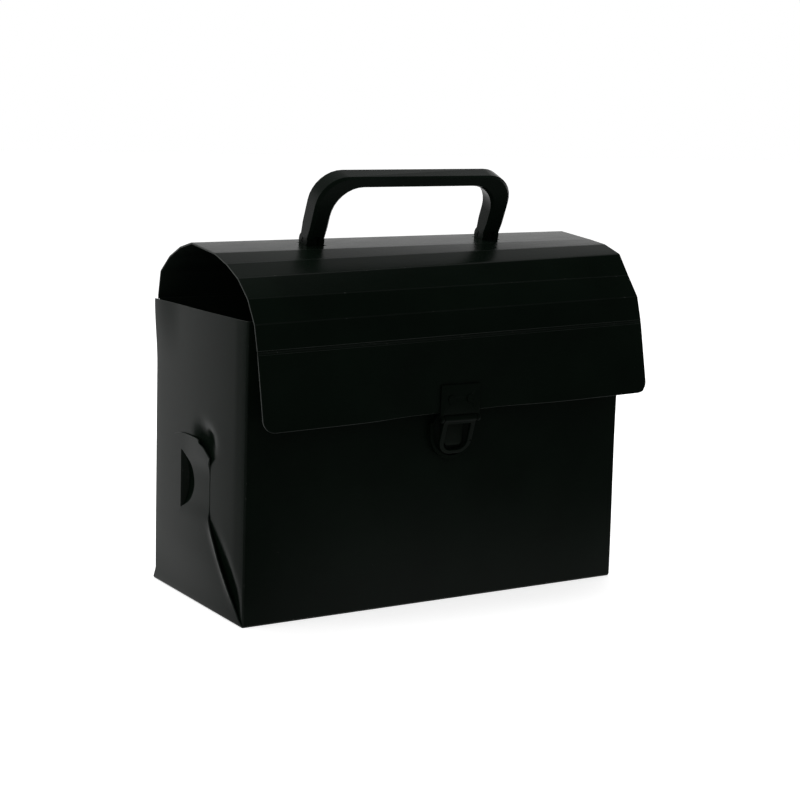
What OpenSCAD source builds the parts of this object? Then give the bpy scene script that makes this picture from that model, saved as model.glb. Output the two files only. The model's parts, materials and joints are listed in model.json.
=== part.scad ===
// Carrying case folded from one plastic sheet: creased vault lid, front flap
// with a loop-and-button lock, and a moulded swing handle.
// Origin: middle of the case's underside. +X right, +Y to the back, +Z up.
// A heading is an angle from straight up (0) over to the front (90) and down (180).

/* [Case] */
// Width of the case over the front panel
case_w = 220; // [180:1:300]
// Depth of the case, front to back
case_d = 100; // [90:1:140]
// Height of the side panels
case_h = 146; // [130:1:200]
// Thickness of the plastic sheet
sheet_t = 0.8; // [0.6:0.1:1.2]
// Gap between leaves of the sheet that lie against each other
leaf_gap = 0.1; // [0.05:0.05:0.3]

/* [Folds] */
// Radius of the rounded bead along a fold that works as a hinge
bead_r = 0.6; // [0.4:0.1:1]
// Gap between a hinge bead and the next leaf
fold_gap = 0.3; // [0.2:0.1:0.6]

/* [Side tucks] */
// Centre of a base tuck's neck, measured back from the middle of the side
neck_y = 0.8; // [-8:0.2:4]
// Width of the neck, between the two slits
neck_w = 32; // [26:1:34]
// Height at which the neck begins
neck_z = 45; // [35:1:55]
// Length of the neck
neck_len = 29; // [22:1:36]
// Hollow of the neck's rear edge
neck_hollow = 12; // [6:0.5:12.5]
// Hollow of the tuck's front edge below the neck
front_edge_hollow = 3; // [1:0.5:8]
// Bulge of the tuck's rear edge below the neck
rear_edge_bulge = 4; // [1:0.5:6]
// Centre of the rounded head, measured back from the middle of the neck
head_shift = 3.2; // [0:0.2:4]
// Width of the rounded head above the neck
head_w = 40; // [38:1:46]
// Height of the rounded head
head_h = 9; // [6:1:14]
// How far the rear tucks reach forward inside the sides
rear_tuck_w = 22; // [12:1:24]
// How far the head's wings reach behind the side panel
wing_reach = 8; // [5:0.5:9]

/* [Vault] */
// How far the lid's left end lies inside the case's left side
lid_left_inset = 0.3; // [-1:0.1:2]
// How far the lid's right end stands out past the case's right side
lid_right_reach = 6.3; // [0:0.1:8]
// How far the flap's crease stands out in front of the case, at its left end
vault_reach = 9.17; // [8:0.01:12]
// Width of the broad strip that carries the handle
top_strip_w = 25.6; // [24:0.2:32]
// Headings of the strips at the left end, hinge to front
left_headings = [12, 51.5, 65, 76, 96.5, 107, 115, 129.5, 147, 164.5];
// Headings of the strips at the right end, hinge to front
right_headings = [13.5, 44, 61, 72.5, 95.5, 97, 107.5, 142.5, 141, 163];

/* [Flap] */
// Length of the front flap below its crease
flap_len = 37; // [32:1:44]
// Radius of the flap's lower corners
flap_corner_r = 6; // [3:0.5:10]
// Heading of the flap at its two ends
flap_end_heading = 167.3; // [164:0.1:172]
// Heading of the flap where the lock draws it in
flap_lock_heading = 181; // [178:0.5:183]

/* [Lock] */
// Width of the lock plate on the flap
plate_w = 23; // [20:0.5:28]
// How far the lock plate reaches above the flap's hem
plate_up = 13.5; // [11:0.5:18]
// Thickness of the lock plate
plate_t = 1.2; // [1:0.1:2]
// Distance between the two plate rivets
plate_rivet_pitch = 11; // [8:0.5:14]
// Width of the swinging loop
loop_w = 19; // [18:0.5:20]
// Width of the loop's legs
loop_leg = 2.5; // [2:0.1:2.6]
// Thickness of the loop
loop_t = 2; // [1.6:0.1:2.2]
// Height of the loop's lower bar
loop_bar = 2; // [1.6:0.1:2.4]
// Length of the loop below its hinge pin
loop_len = 19.1; // [18:0.1:20]
// Radius of the lock's hinge barrels
barrel_r = 1.9; // [1.6:0.1:2.2]
// Radius of the lock's hinge pin
lock_pin_r = 0.8; // [0.6:0.05:1]
// Width of the receiver on the front panel
base_w = 26; // [24:0.5:32]
// Thickness of the receiver's floor
base_t = 2; // [1.8:0.1:2.4]
// Height of the receiver's rim above its floor
rim_h = 1.4; // [1:0.1:2]
// Width of the receiver's rim
rim_w = 1.6; // [1.2:0.1:2]
// Width of the push button at its top
button_w = 13; // [11:0.1:13.2]
// Height of the push button
button_h = 10.4; // [9:0.1:11]
// How far the button's lower edge stands in front of the loop's back
button_bite = 0.8; // [0.4:0.1:0.9]
// Space between the loop's lower bar and the button
button_drop = 1.8; // [1.6:0.1:2.4]
// How far the button can be pressed in
button_travel = 1.2; // [1:0.1:1.4]

/* [Handle] */
// Width of the handle over its legs
handle_w = 115.8; // [90:0.1:140]
// Height of the handle above its pivot
handle_h = 36.4; // [34:0.1:48]
// Thickness of the handle's bar
handle_t = 5.8; // [4.5:0.1:8]
// Thickness of the handle's legs
leg_t = 10; // [8:0.1:11]
// Depth of the handle's bar, front to back
handle_d = 11; // [10:0.5:16]
// Bevel along the handle's edges
handle_bevel = 1.5; // [1:0.1:3]
// Outer radius of the handle's corners
handle_corner_r = 15.7; // [12:0.1:20]
// Inner radius of the handle's corners
handle_inner_r = 15.6; // [8:0.1:18]
// Forward lean of the handle as it stands
handle_lean = 23; // [0:1:30]
// Radius of the rounded foot of each leg
foot_r = 4.2; // [4:0.1:4.6]
// Length of the taper down to each foot
foot_taper = 8.5; // [7:0.5:12]
// Height of the handle's pivot above the lid
pivot_up = 2; // [1.8:0.1:2.4]
// Radius of the handle's pivot pins
pivot_pin_r = 1.3; // [1:0.05:1.6]
// Radial clearance of a pin in its hinge
pin_play = 0.05; // [0.02:0.01:0.09]
// Gap between a foot and the ends of its slot in the lid
slot_play = 1; // [0.8:0.1:1.6]
// Clearance round moving pieces
play = 0.35; // [0.3:0.05:0.4]

/* [Hidden] */

$fn = 48;
sheet_colour = "#1d2020";
moulding_colour = "#141616";
metal_colour = "#8d9092";

// ---- Derived sizes: the case ----
half_w = case_w / 2;
half_d = case_d / 2;
// The tucks lie just outside the side panels, so the base reaches out to them
base_half_w = half_w + leaf_gap + sheet_t;
hinge_y = half_d - sheet_t / 2;
hinge_z = case_h + bead_r + fold_gap + leaf_gap;
slit_w = sheet_t + 4 * leaf_gap;
neck_top = neck_z + neck_len;
rear_tuck_taper = rear_tuck_w / 2;
rear_tuck_drop = 1;
wing_h = 8;
wing_root_h = 3;
// How far the head's shoulders overlap the neck, so that the tuck is one solid
shoulder = 0.5;
// Overshoot of a cut past the face that it opens
cut = 1;

// ---- Derived sizes: the vault ----
lid_left = lid_left_inset - half_w;
lid_right = half_w + lid_right_reach;
lid_w = lid_right - lid_left;
top_index = 4;
last_index = len(left_headings) - 1;
function total(list, k = 0) = k == len(list) ? 0 : list[k] + total(list, k + 1);

// The narrow strips share what the broad one leaves of the way from the hinge to the front
narrow_sines = [for (k = [0 : last_index]) if (k != top_index) sin(left_headings[k])];
vault_depth = hinge_y + half_d + vault_reach;
strip_w = (vault_depth - top_strip_w * sin(left_headings[top_index])) / total(narrow_sines);
strip_widths = [for (k = [0 : last_index]) k == top_index ? top_strip_w : strip_w];

// Unit vector along a heading, and the outward normal of a strip at it, as [y, z]
function along(h) = [-sin(h), cos(h)];
function outward(h) = [cos(h), sin(h)];

// Crease points of one end, from the hinge over to the flap's crease
function walk(p, headings, k = 0) = k > last_index
    ? [p]
    : concat([p], walk(p + strip_widths[k] * along(headings[k]), headings, k + 1));

left_creases = walk([hinge_y, hinge_z], left_headings);
right_creases = walk([hinge_y, hinge_z], right_headings);

function share(x) = (x - lid_left) / lid_w;
function mix(a, b, s) = a + (b - a) * s;
function crease(k, x) = mix(left_creases[k], right_creases[k], share(x));

// Heading of strip k at x, and the sheet's half thickness set off at crease k
function heading(k, x) = let (d = crease(k + 1, x) - crease(k, x)) atan2(-d[0], d[1]);
function mitre(k, x) = let (
        before = heading(max(k - 1, 0), x),
        after = heading(min(k, last_index), x)
    ) sheet_t / 2 / cos((after - before) / 2) * outward((after + before) / 2);

function on_x(x, p) = [x, p[0], p[1]];

// Ring of four points: the cut through strip k at x
function strip_ring(k, x) = let (
        trim = k == last_index ? (bead_r + fold_gap) * along(heading(k, x)) : [0, 0],
        start = mitre(k, x),
        finish = mitre(k + 1, x)
    ) [
        on_x(x, crease(k, x) + start),
        on_x(x, crease(k + 1, x) - trim + finish),
        on_x(x, crease(k + 1, x) - trim - finish),
        on_x(x, crease(k, x) - start)
    ];
vault_steps = 6;

// ---- Derived sizes: the flap ----
lock_x = (lid_left + lid_right) / 2;
lock_margin = 3;
flat_half = plate_w / 2 + lock_margin;
fade_w = 70;
corner_steps = 6;
middle_steps = 16;
flap_crease = last_index + 1;

// 1 beside the lock, fading to 0 towards the flap's ends
function pull(x) = let (w = min(max((abs(x - lock_x) - flat_half) / fade_w, 0), 1))
    1 - w * w * (3 - 2 * w);
function flap_heading(x) = mix(flap_end_heading, flap_lock_heading, pull(x));
function end_distance(x) = min(x - lid_left, lid_right - x);
function corner_cut(x) = let (d = max(flap_corner_r - end_distance(x), 0))
    flap_corner_r - sqrt(flap_corner_r * flap_corner_r - d * d);

function flap_ring(x) = let (
        top = crease(flap_crease, x),
        h = flap_heading(x),
        out = sheet_t / 2 * outward(h),
        hem = top + (flap_len - corner_cut(x)) * along(h)
    ) [on_x(x, top + out), on_x(x, hem + out), on_x(x, hem - out), on_x(x, top - out)];

flap_corner_xs = [for (i = [0 : corner_steps]) flap_corner_r * (1 - cos(90 * i / corner_steps))];
flap_middle_w = lid_w - 2 * flap_corner_r;
flap_xs = concat(
    [for (d = flap_corner_xs) lid_left + d],
    [for (i = [1 : middle_steps - 1]) lid_left + flap_corner_r + flap_middle_w * i / middle_steps],
    [for (i = [corner_steps : -1 : 0]) lid_right - flap_corner_xs[i]]
);

// ---- Derived sizes: the lock ----
flap_top_at_lock = crease(flap_crease, lock_x);
flap_turn = flap_lock_heading - 180;
plate_down = 1.7;
plate_top = -flap_len + plate_up;
plate_bottom = -flap_len - plate_down;
plate_back = -sheet_t / 2 - leaf_gap;
loop_pin_y = plate_back - plate_t / 2;
loop_pin_z = plate_bottom - barrel_r;
pin_r_bore = lock_pin_r + pin_play;
rivet_r = 1.2;
rivet_head_r = 2;
rivet_head_t = 0.6;
rivet_play = 0.05;
plate_rivet_drop = 7.25;
plate_rivet_z = plate_top - plate_rivet_drop;

// The loop's pin in the case's own frame
pin_at = [
    flap_top_at_lock[0] + loop_pin_y * cos(flap_turn) - loop_pin_z * sin(flap_turn),
    flap_top_at_lock[1] + loop_pin_y * sin(flap_turn) + loop_pin_z * cos(flap_turn)
];
base_front = -half_d - base_t;
// The loop leans in until its lower bar lies just clear of the receiver's floor
bar_gap = 0.85;
bar_stand = loop_t / 2 + bar_gap;
bar_centre_y = base_front - bar_stand;
bar_arm = loop_len - loop_bar / 2;
loop_lean = asin((bar_centre_y - pin_at[0]) / bar_arm);
bar_centre_z = pin_at[1] - bar_arm * cos(loop_lean);
bar_top_z = bar_centre_z + loop_bar / 2 * cos(loop_lean) + loop_t / 2 * sin(loop_lean);
bar_back_y = bar_centre_y - loop_bar / 2 * sin(loop_lean) + loop_t / 2 * cos(loop_lean);
loop_foot_z = pin_at[1] - loop_len * cos(loop_lean) - loop_t / 2 * sin(loop_lean);
loop_inner_r = 5;
loop_outer_r = loop_inner_r + loop_leg;
loop_shoulder = 0.6;

button_z = bar_top_z + button_drop;
button_lip_y = bar_back_y - button_bite;
button_crown = 0.7;
button_crown_y = base_front - button_crown;
button_lip_h = 1;
button_taper = 1.4;
button_foot_r = 1.2;
shank_w = 8;
shank_h = 7;
shank_z = button_z + button_h / 2;
collar = 1;
collar_t = 1;
cup_wall = 1;
cup_depth = 6.5;
cup_w = shank_w + 2 * collar + 2 * play;
cup_h = shank_h + 2 * collar + 2 * play;
base_rivet_x = cup_w / 2 + cup_wall + rivet_head_r + leaf_gap;
flange_half = base_rivet_x + rivet_head_r + leaf_gap;
base_rivet_depth = 1.2;
base_rivet_gap = 0.1;
panel_back = -half_d + sheet_t;
collar_front = panel_back + play;
collar_back = collar_front + collar_t;
cup_floor = panel_back + cup_depth - cup_wall;
rim_gap = 1;
base_bottom_r = base_w / 2;
base_bottom_z = loop_foot_z - rim_gap - rim_w + base_bottom_r;
base_brow = 1;
base_top_z = button_z + button_h + base_brow;

spring_r = 2.4;
spring_wire_r = 0.3;
spring_turns = 3;
spring_seat = 0.02;
spring_steps = 12;
spring_sides = 6;

// ---- Derived sizes: the handle ----
pivot_y = (crease(top_index, lock_x)[0] + crease(top_index + 1, lock_x)[0]) / 2;
pivot_z = (crease(top_index, lock_x)[1] + crease(top_index + 1, lock_x)[1]) / 2
    + sheet_t / 2 + pivot_up;
top_slope = heading(top_index, lock_x) - 90;
// The lid stands higher at its right end, and the handle follows it
lid_rise = atan((right_creases[top_index][1] + right_creases[top_index + 1][1]
    - left_creases[top_index][1] - left_creases[top_index + 1][1]) / (2 * lid_w));
leg_x = (handle_w - leg_t) / 2;
// The bevel takes at most this share of the bar's half thickness
bevel_share = 0.6;
tongue_t = 2.8;
tongue_r = 3.1;
fork_w = tongue_t + 2 * play;
fork_top = tongue_r + 2 * play;
anchor_w = 16;
anchor_d = 21;
anchor_t = 1.5;
anchor_drop = foot_r + play;
anchor_pad = 4.5;
anchor_seat = 0.3;
anchor_pad_top = pivot_up + sheet_t + anchor_seat;
slot_w = leg_t + 2 * play;
slot_d = 2 * (foot_r + slot_play);
slot_deep = pivot_up + 2 * sheet_t + cut;
corner_arc_steps = 8;
// The taper ends just inside the round foot
foot_inset = 0.15;
pin_inset = 0.3;

// ---- Shared shapes ----

// Solid through a row of rings that have equally many points. The two halves of a ring
// are split along matching diagonals, so a twisted sheet keeps its thickness.
module loft(rings) {
    m = len(rings[0]);
    n = len(rings);
    points = [for (ring = rings) each ring];
    sides = [
        for (s = [0 : n - 2], j = [0 : m - 1])
            let (a = s * m + j, b = s * m + (j + 1) % m)
                each 2 * j < m
                    ? [[a, b + m, b], [a, a + m, b + m]]
                    : [[a, a + m, b], [b, a + m, b + m]]
    ];
    first_cap = [for (j = [0 : m - 1]) j];
    last_cap = [for (j = [m - 1 : -1 : 0]) (n - 1) * m + j];
    polyhedron(points = points, faces = concat([first_cap, last_cap], sides), convexity = 6);
}

// Plate cut in the YZ plane, from x0 towards +X
module side_plate(x0, t = sheet_t) {
    translate([x0, 0, 0]) rotate([90, 0, 90]) linear_extrude(t) children();
}

// Plate cut in the XZ plane, from y0 towards the back
module front_plate(y0, t) {
    translate([0, y0 + t, 0]) rotate([90, 0, 0]) linear_extrude(t) children();
}

// Cylinder along X, centred on x
module x_rod(r, length, x = 0) {
    translate([x - length / 2, 0, 0]) rotate([0, 90, 0]) cylinder(r = r, h = length);
}

// Cylinder from y0 towards the back
module y_rod(r, length, y0) {
    translate([0, y0, 0]) rotate([-90, 0, 0]) cylinder(r = r, h = length);
}

// Points from a to b along an arc that bows by sag to the right of the way
function bow(a, b, sag, steps = 8) = let (
        chord = b - a,
        half = norm(chord) / 2,
        r = (half * half + sag * sag) / (2 * sag),
        right = [chord[1], -chord[0]] / (2 * half),
        centre = (a + b) / 2 - right * (r - sag),
        reach = asin(half / r)
    ) [for (i = [0 : steps])
        let (turn = reach * (2 * i / steps - 1))
            centre + r * (cos(turn) * right + sin(turn) * chord / (2 * half))];

// ---- The case ----

module base_panel() {
    color(sheet_colour)
        translate([-base_half_w, -half_d, 0]) cube([2 * base_half_w, case_d, sheet_t]);
}

module front_panel() {
    color(sheet_colour) difference() {
        translate([-half_w, -half_d, sheet_t]) cube([case_w, sheet_t, case_h - sheet_t]);
        translate([lock_x - shank_w / 2 - play, -half_d - cut, shank_z - shank_h / 2 - play])
            cube([shank_w + 2 * play, sheet_t + 2 * cut, shank_h + 2 * play]);
        for (side = [-1, 1])
            translate([lock_x + side * base_rivet_x, 0, shank_z])
                y_rod(rivet_r + rivet_play, sheet_t + 2 * cut, -half_d - cut);
    }
}

module back_panel() {
    color(sheet_colour)
        translate([-half_w, half_d - sheet_t, sheet_t])
            cube([case_w, sheet_t, hinge_z - bead_r - fold_gap - sheet_t]);
}

// One slit beside the neck of the base tuck
module slit(y0) {
    translate([y0, neck_z - cut]) square([slit_w, neck_len + 2 * cut]);
}

module side_panel_outline() {
    difference() {
        translate([-half_d + sheet_t, sheet_t])
            square([case_d - 2 * sheet_t, case_h - sheet_t]);
        slit(neck_y - neck_w / 2 - slit_w);
        slit(neck_y + neck_w / 2);
    }
}

module left_side_panel() {
    color(sheet_colour) side_plate(-half_w) side_panel_outline();
}

module right_side_panel() {
    color(sheet_colour) side_plate(half_w - sheet_t) side_panel_outline();
}

module base_tuck_outline() {
    neck_front = neck_y - neck_w / 2;
    neck_back = neck_y + neck_w / 2;
    head_y = neck_y + head_shift;
    polygon(concat(
        bow([half_d, sheet_t], [neck_back, neck_z], rear_edge_bulge),
        bow([neck_back, neck_z + shoulder], [neck_back, neck_top - shoulder], -neck_hollow),
        bow([head_y + head_w / 2, neck_top], [head_y - head_w / 2, neck_top], head_h),
        [[neck_front, neck_top - 2 * shoulder]],
        bow([neck_front, neck_z], [-half_d, sheet_t], -front_edge_hollow)
    ));
}

// Wing of the head, through its slit and away behind the side panel.
// It is drawn for the left side; way is -1 for the front wing, 1 for the rear one.
module wing(way) {
    step_y = neck_y + way * (neck_w / 2 + slit_w / 2);
    wing_z = neck_top - wing_h;
    outer_x = -base_half_w;
    inner_x = -half_w + sheet_t + leaf_gap;
    translate([outer_x, step_y - sheet_t / 2, wing_z])
        cube([inner_x + sheet_t - outer_x, sheet_t, wing_h]);
    translate([inner_x, min(step_y, step_y + way * wing_reach), wing_z])
        cube([sheet_t, wing_reach, wing_h]);
    translate([outer_x, min(step_y, step_y - way * neck_hollow / 2), neck_top - wing_root_h])
        cube([sheet_t, neck_hollow / 2, wing_root_h]);
}

module base_tuck() {
    side_plate(-base_half_w) base_tuck_outline();
    wing(-1);
    wing(1);
}

module left_base_tuck() {
    color(sheet_colour) base_tuck();
}

module right_base_tuck() {
    color(sheet_colour) mirror([1, 0, 0]) base_tuck();
}

module rear_tuck_outline() {
    back = half_d - sheet_t;
    front = back - rear_tuck_w;
    top = case_h - rear_tuck_drop;
    polygon([
        [back, sheet_t], [back, top], [front, top - rear_tuck_taper],
        [front, sheet_t + rear_tuck_taper]
    ]);
}

module left_rear_tuck() {
    color(sheet_colour) side_plate(-half_w + sheet_t + leaf_gap) rear_tuck_outline();
}

module right_rear_tuck() {
    color(sheet_colour) side_plate(half_w - 2 * sheet_t - leaf_gap) rear_tuck_outline();
}

// ---- The lid ----

module vault_strip(k) {
    loft([for (i = [0 : vault_steps]) strip_ring(k, lid_left + lid_w * i / vault_steps)]);
}

// Bead of a working fold along crease k
module fold_bead(k) {
    start = on_x(lid_left, left_creases[k]);
    way = on_x(lid_right, right_creases[k]) - start;
    length = norm(way);
    translate(start)
        rotate([0, acos(way[2] / length), atan2(way[1], way[0])])
            cylinder(r = bead_r, h = length);
}

module lid_rear_strip_1() {
    color(sheet_colour) {
        vault_strip(0);
        fold_bead(0);
    }
}

module lid_rear_strip_2() {
    color(sheet_colour) vault_strip(1);
}

module lid_rear_strip_3() {
    color(sheet_colour) vault_strip(2);
}

module lid_rear_strip_4() {
    color(sheet_colour) vault_strip(3);
}

module lid_top_strip() {
    color(sheet_colour) difference() {
        vault_strip(top_index);
        for (side = [-1, 1])
            at_pivot() translate([side * leg_x - slot_w / 2, -slot_d / 2, -slot_deep])
                cube([slot_w, slot_d, 2 * slot_deep]);
    }
}

module lid_front_strip_1() {
    color(sheet_colour) vault_strip(5);
}

module lid_front_strip_2() {
    color(sheet_colour) vault_strip(6);
}

module lid_front_strip_3() {
    color(sheet_colour) vault_strip(7);
}

module lid_front_strip_4() {
    color(sheet_colour) vault_strip(8);
}

module lid_front_strip_5() {
    color(sheet_colour) vault_strip(9);
}

// ---- The flap and its half of the lock ----

// Frame on the flap beside the lock: z = 0 at the crease, -y away from the case
module on_flap() {
    translate([lock_x, flap_top_at_lock[0], flap_top_at_lock[1]])
        rotate([flap_turn, 0, 0]) children();
}

module front_flap() {
    color(sheet_colour) difference() {
        union() {
            loft([for (x = flap_xs) flap_ring(x)]);
            fold_bead(flap_crease);
        }
        on_flap() plate_rivet_places()
            y_rod(rivet_r + rivet_play, sheet_t + 2 * cut, -sheet_t / 2 - cut);
    }
}

module plate_rivet_places() {
    for (side = [-1, 1])
        translate([side * plate_rivet_pitch / 2, 0, plate_rivet_z]) children();
}

// One end barrel of the lock plate, beside the loop's own barrel
module end_barrel(side) {
    inner = loop_w / 2 + play;
    length = plate_w / 2 - inner;
    x_rod(barrel_r, length, side * (inner + length / 2));
    translate([side * (inner + length / 2) - length / 2, -plate_t / 2, 0])
        cube([length, plate_t, barrel_r + loop_shoulder]);
}

module lock_plate() {
    color(moulding_colour) on_flap() difference() {
        union() {
            translate([-plate_w / 2, plate_back - plate_t, plate_bottom + play])
                cube([plate_w, plate_t, plate_top - plate_bottom - play]);
            for (side = [-1, 1])
                translate([0, loop_pin_y, loop_pin_z]) end_barrel(side);
        }
        translate([0, loop_pin_y, loop_pin_z]) x_rod(lock_pin_r, plate_w + 2 * cut);
        plate_rivet_places()
            y_rod(rivet_r + rivet_play, plate_t + 2 * cut, plate_back - plate_t - cut);
    }
}

module lock_plate_rivets() {
    color(moulding_colour) on_flap() plate_rivet_places() {
        front = plate_back - plate_t;
        y_rod(rivet_head_r, rivet_head_t, front - rivet_head_t);
        y_rod(rivet_r, plate_t + sheet_t + 2 * leaf_gap, front);
        y_rod(rivet_head_r, rivet_head_t, sheet_t / 2 + leaf_gap);
    }
}

module lock_hinge_pin() {
    color(metal_colour) on_flap()
        translate([0, loop_pin_y, loop_pin_z]) x_rod(lock_pin_r, plate_w);
}

// Outline of a U with a closed, rounded foot: half width, length and corner radius
module u_outline(half, length, r) {
    translate([-half, -length + r]) square([2 * half, length - r]);
    translate([-half + r, -length]) square([2 * (half - r), r + 0.01]);
    for (side = [-1, 1])
        translate([side * (half - r), -length + r]) circle(r);
}

module lock_loop() {
    color(moulding_colour)
        translate([lock_x, pin_at[0], pin_at[1]]) rotate([loop_lean, 0, 0]) difference() {
            union() {
                x_rod(barrel_r, loop_w);
                front_plate(-loop_t / 2, loop_t) difference() {
                    u_outline(loop_w / 2, loop_len, loop_outer_r);
                    translate([0, -barrel_r - loop_shoulder])
                        u_outline(loop_w / 2 - loop_leg,
                            loop_len - barrel_r - loop_shoulder - loop_bar, loop_inner_r);
                }
            }
            x_rod(pin_r_bore, loop_w + 2 * cut);
        }
}

// ---- The receiver on the front panel ----

// Front outline of the push button, grown all round by c
module button_outline(c = 0) {
    top = button_w / 2 + c;
    foot = button_w / 2 - button_taper + c;
    polygon([
        [-top, button_h + c], [top, button_h + c], [foot, button_foot_r - c],
        [foot - button_foot_r, -c], [-foot + button_foot_r, -c], [-foot, button_foot_r - c]
    ]);
}

// Outline of the receiver: flat top, round bottom
module base_outline(half, bottom_z) {
    translate([0, bottom_z + half]) circle(half);
    translate([-half, bottom_z + half]) square([2 * half, base_top_z - bottom_z - half]);
}

module lock_base() {
    bottom = base_bottom_z - base_bottom_r;
    color(moulding_colour) translate([lock_x, 0, 0]) difference() {
        union() {
            front_plate(base_front, base_t) base_outline(base_w / 2, bottom);
            front_plate(base_front - rim_h, rim_h + base_t / 2) difference() {
                base_outline(base_w / 2, bottom);
                base_outline(base_w / 2 - rim_w, bottom + rim_w);
            }
        }
        front_plate(base_front - cut, base_t + 2 * cut)
            translate([0, button_z]) button_outline(play);
        for (side = [-1, 1])
            translate([side * base_rivet_x, 0, shank_z])
                y_rod(rivet_r + rivet_play, base_rivet_depth + cut, -half_d - base_rivet_depth);
    }
}

module lock_base_rivets() {
    back = panel_back + cup_wall;
    tip = -half_d - base_rivet_depth + base_rivet_gap;
    color(metal_colour) for (side = [-1, 1])
        translate([lock_x + side * base_rivet_x, 0, shank_z]) {
            y_rod(rivet_r, back - tip, tip);
            y_rod(rivet_head_r, rivet_head_t, back);
        }
}

// Cup inside the case that carries the button's spring
module lock_back_cup() {
    color(moulding_colour) translate([lock_x, 0, shank_z]) difference() {
        union() {
            translate([-flange_half, panel_back, -cup_h / 2 - cup_wall])
                cube([2 * flange_half, cup_wall, cup_h + 2 * cup_wall]);
            translate([-cup_w / 2 - cup_wall, panel_back, -cup_h / 2 - cup_wall])
                cube([cup_w + 2 * cup_wall, cup_depth, cup_h + 2 * cup_wall]);
        }
        translate([-cup_w / 2, panel_back - cut, -cup_h / 2])
            cube([cup_w, cup_depth + cut - cup_wall, cup_h]);
        for (side = [-1, 1])
            translate([side * base_rivet_x, 0, 0])
                y_rod(rivet_r + rivet_play, cup_wall + 2 * cut, panel_back - cut);
    }
}

module lock_button() {
    key_back = -half_d - play - button_travel;
    color(moulding_colour) translate([lock_x, 0, 0]) {
        intersection() {
            side_plate(-button_w, 2 * button_w) polygon([
                [key_back, button_z], [key_back, button_z + button_h],
                [button_crown_y, button_z + button_h],
                [button_lip_y, button_z + button_lip_h], [button_lip_y, button_z]
            ]);
            front_plate(button_lip_y - cut, key_back - button_lip_y + 2 * cut)
                translate([0, button_z]) button_outline();
        }
        translate([-shank_w / 2, key_back - cut / 2, shank_z - shank_h / 2])
            cube([shank_w, collar_back - key_back + cut / 2, shank_h]);
        translate([-shank_w / 2 - collar, collar_front, shank_z - shank_h / 2 - collar])
            cube([shank_w + 2 * collar, collar_t, shank_h + 2 * collar]);
    }
}

// Coil between the button's collar and the floor of its cup
module lock_spring() {
    start = collar_back + spring_wire_r + spring_seat;
    finish = cup_floor - spring_wire_r - spring_seat;
    rings = [
        for (i = [0 : spring_turns * spring_steps])
            let (a = 360 * i / spring_steps, y = mix(start, finish, i / (spring_turns * spring_steps)))
                [for (k = [0 : spring_sides - 1])
                    let (p = 360 * k / spring_sides, r = spring_r + spring_wire_r * cos(p))
                        [r * cos(a), y + spring_wire_r * sin(p), r * sin(a)]]
    ];
    color(metal_colour) translate([lock_x, 0, shank_z]) loft(rings);
}

// ---- The handle ----

module at_pivot() {
    translate([lock_x, pivot_y, pivot_z]) rotate([top_slope, -lid_rise, 0]) children();
}

module at_handle() {
    translate([lock_x, pivot_y, pivot_z]) rotate([handle_lean, -lid_rise, 0]) children();
}

// Bevelled section of the bar: half thickness across, half depth front to back
function bar_section(half_t, half_depth) = let (
        c = min(handle_bevel * half_depth / (handle_d / 2), bevel_share * half_t)
    ) [
    [half_t, c - half_depth], [half_t - c, -half_depth], [c - half_t, -half_depth],
    [-half_t, c - half_depth], [-half_t, half_depth - c], [c - half_t, half_depth],
    [half_t - c, half_depth], [half_t, half_depth - c]
];

// Ring of the bar between an inner and an outer point of the handle's XZ plane
function bar_ring(inner, outer, half_depth) = let (
        p = (inner + outer) / 2,
        half_t = norm(outer - inner) / 2,
        across = (outer - inner) / (2 * half_t)
    ) [for (q = bar_section(half_t, half_depth)) [p[0] + across[0] * q[0], q[1], p[1] + across[1] * q[0]]];

function half_bar(side) = let (
        outer_x = handle_w / 2,
        inner_x = outer_x - leg_t,
        outer_c = [outer_x, handle_h] - handle_corner_r * [1, 1],
        inner_c = [inner_x, handle_h - handle_t] - handle_inner_r * [1, 1]
    ) concat(
        [bar_ring([side * inner_x, 0], [side * outer_x, 0], foot_r - foot_inset)],
        [bar_ring([side * inner_x, foot_taper], [side * outer_x, foot_taper], handle_d / 2)],
        [for (i = [0 : corner_arc_steps])
            let (a = 90 * i / corner_arc_steps, way = [cos(a), sin(a)])
                bar_ring(
                    flipped(side, inner_c + handle_inner_r * way),
                    flipped(side, outer_c + handle_corner_r * way), handle_d / 2)]
    );

function flipped(side, p) = [side * p[0], p[1]];
function turned(rings) = [for (i = [len(rings) - 1 : -1 : 0]) rings[i]];

module handle() {
    color(moulding_colour) at_handle() difference() {
        union() {
            loft(concat(half_bar(-1), turned(half_bar(1))));
            for (side = [-1, 1]) x_rod(foot_r, leg_t, side * leg_x);
        }
        for (side = [-1, 1]) {
            translate([side * leg_x - fork_w / 2, -handle_d, -handle_d])
                cube([fork_w, 2 * handle_d, handle_d + fork_top]);
            x_rod(pivot_pin_r, leg_t + 2 * cut, side * leg_x);
        }
    }
}

module handle_pivot_pins() {
    color(metal_colour) at_handle()
        for (side = [-1, 1]) x_rod(pivot_pin_r, leg_t - 2 * pin_inset, side * leg_x);
}

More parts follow.
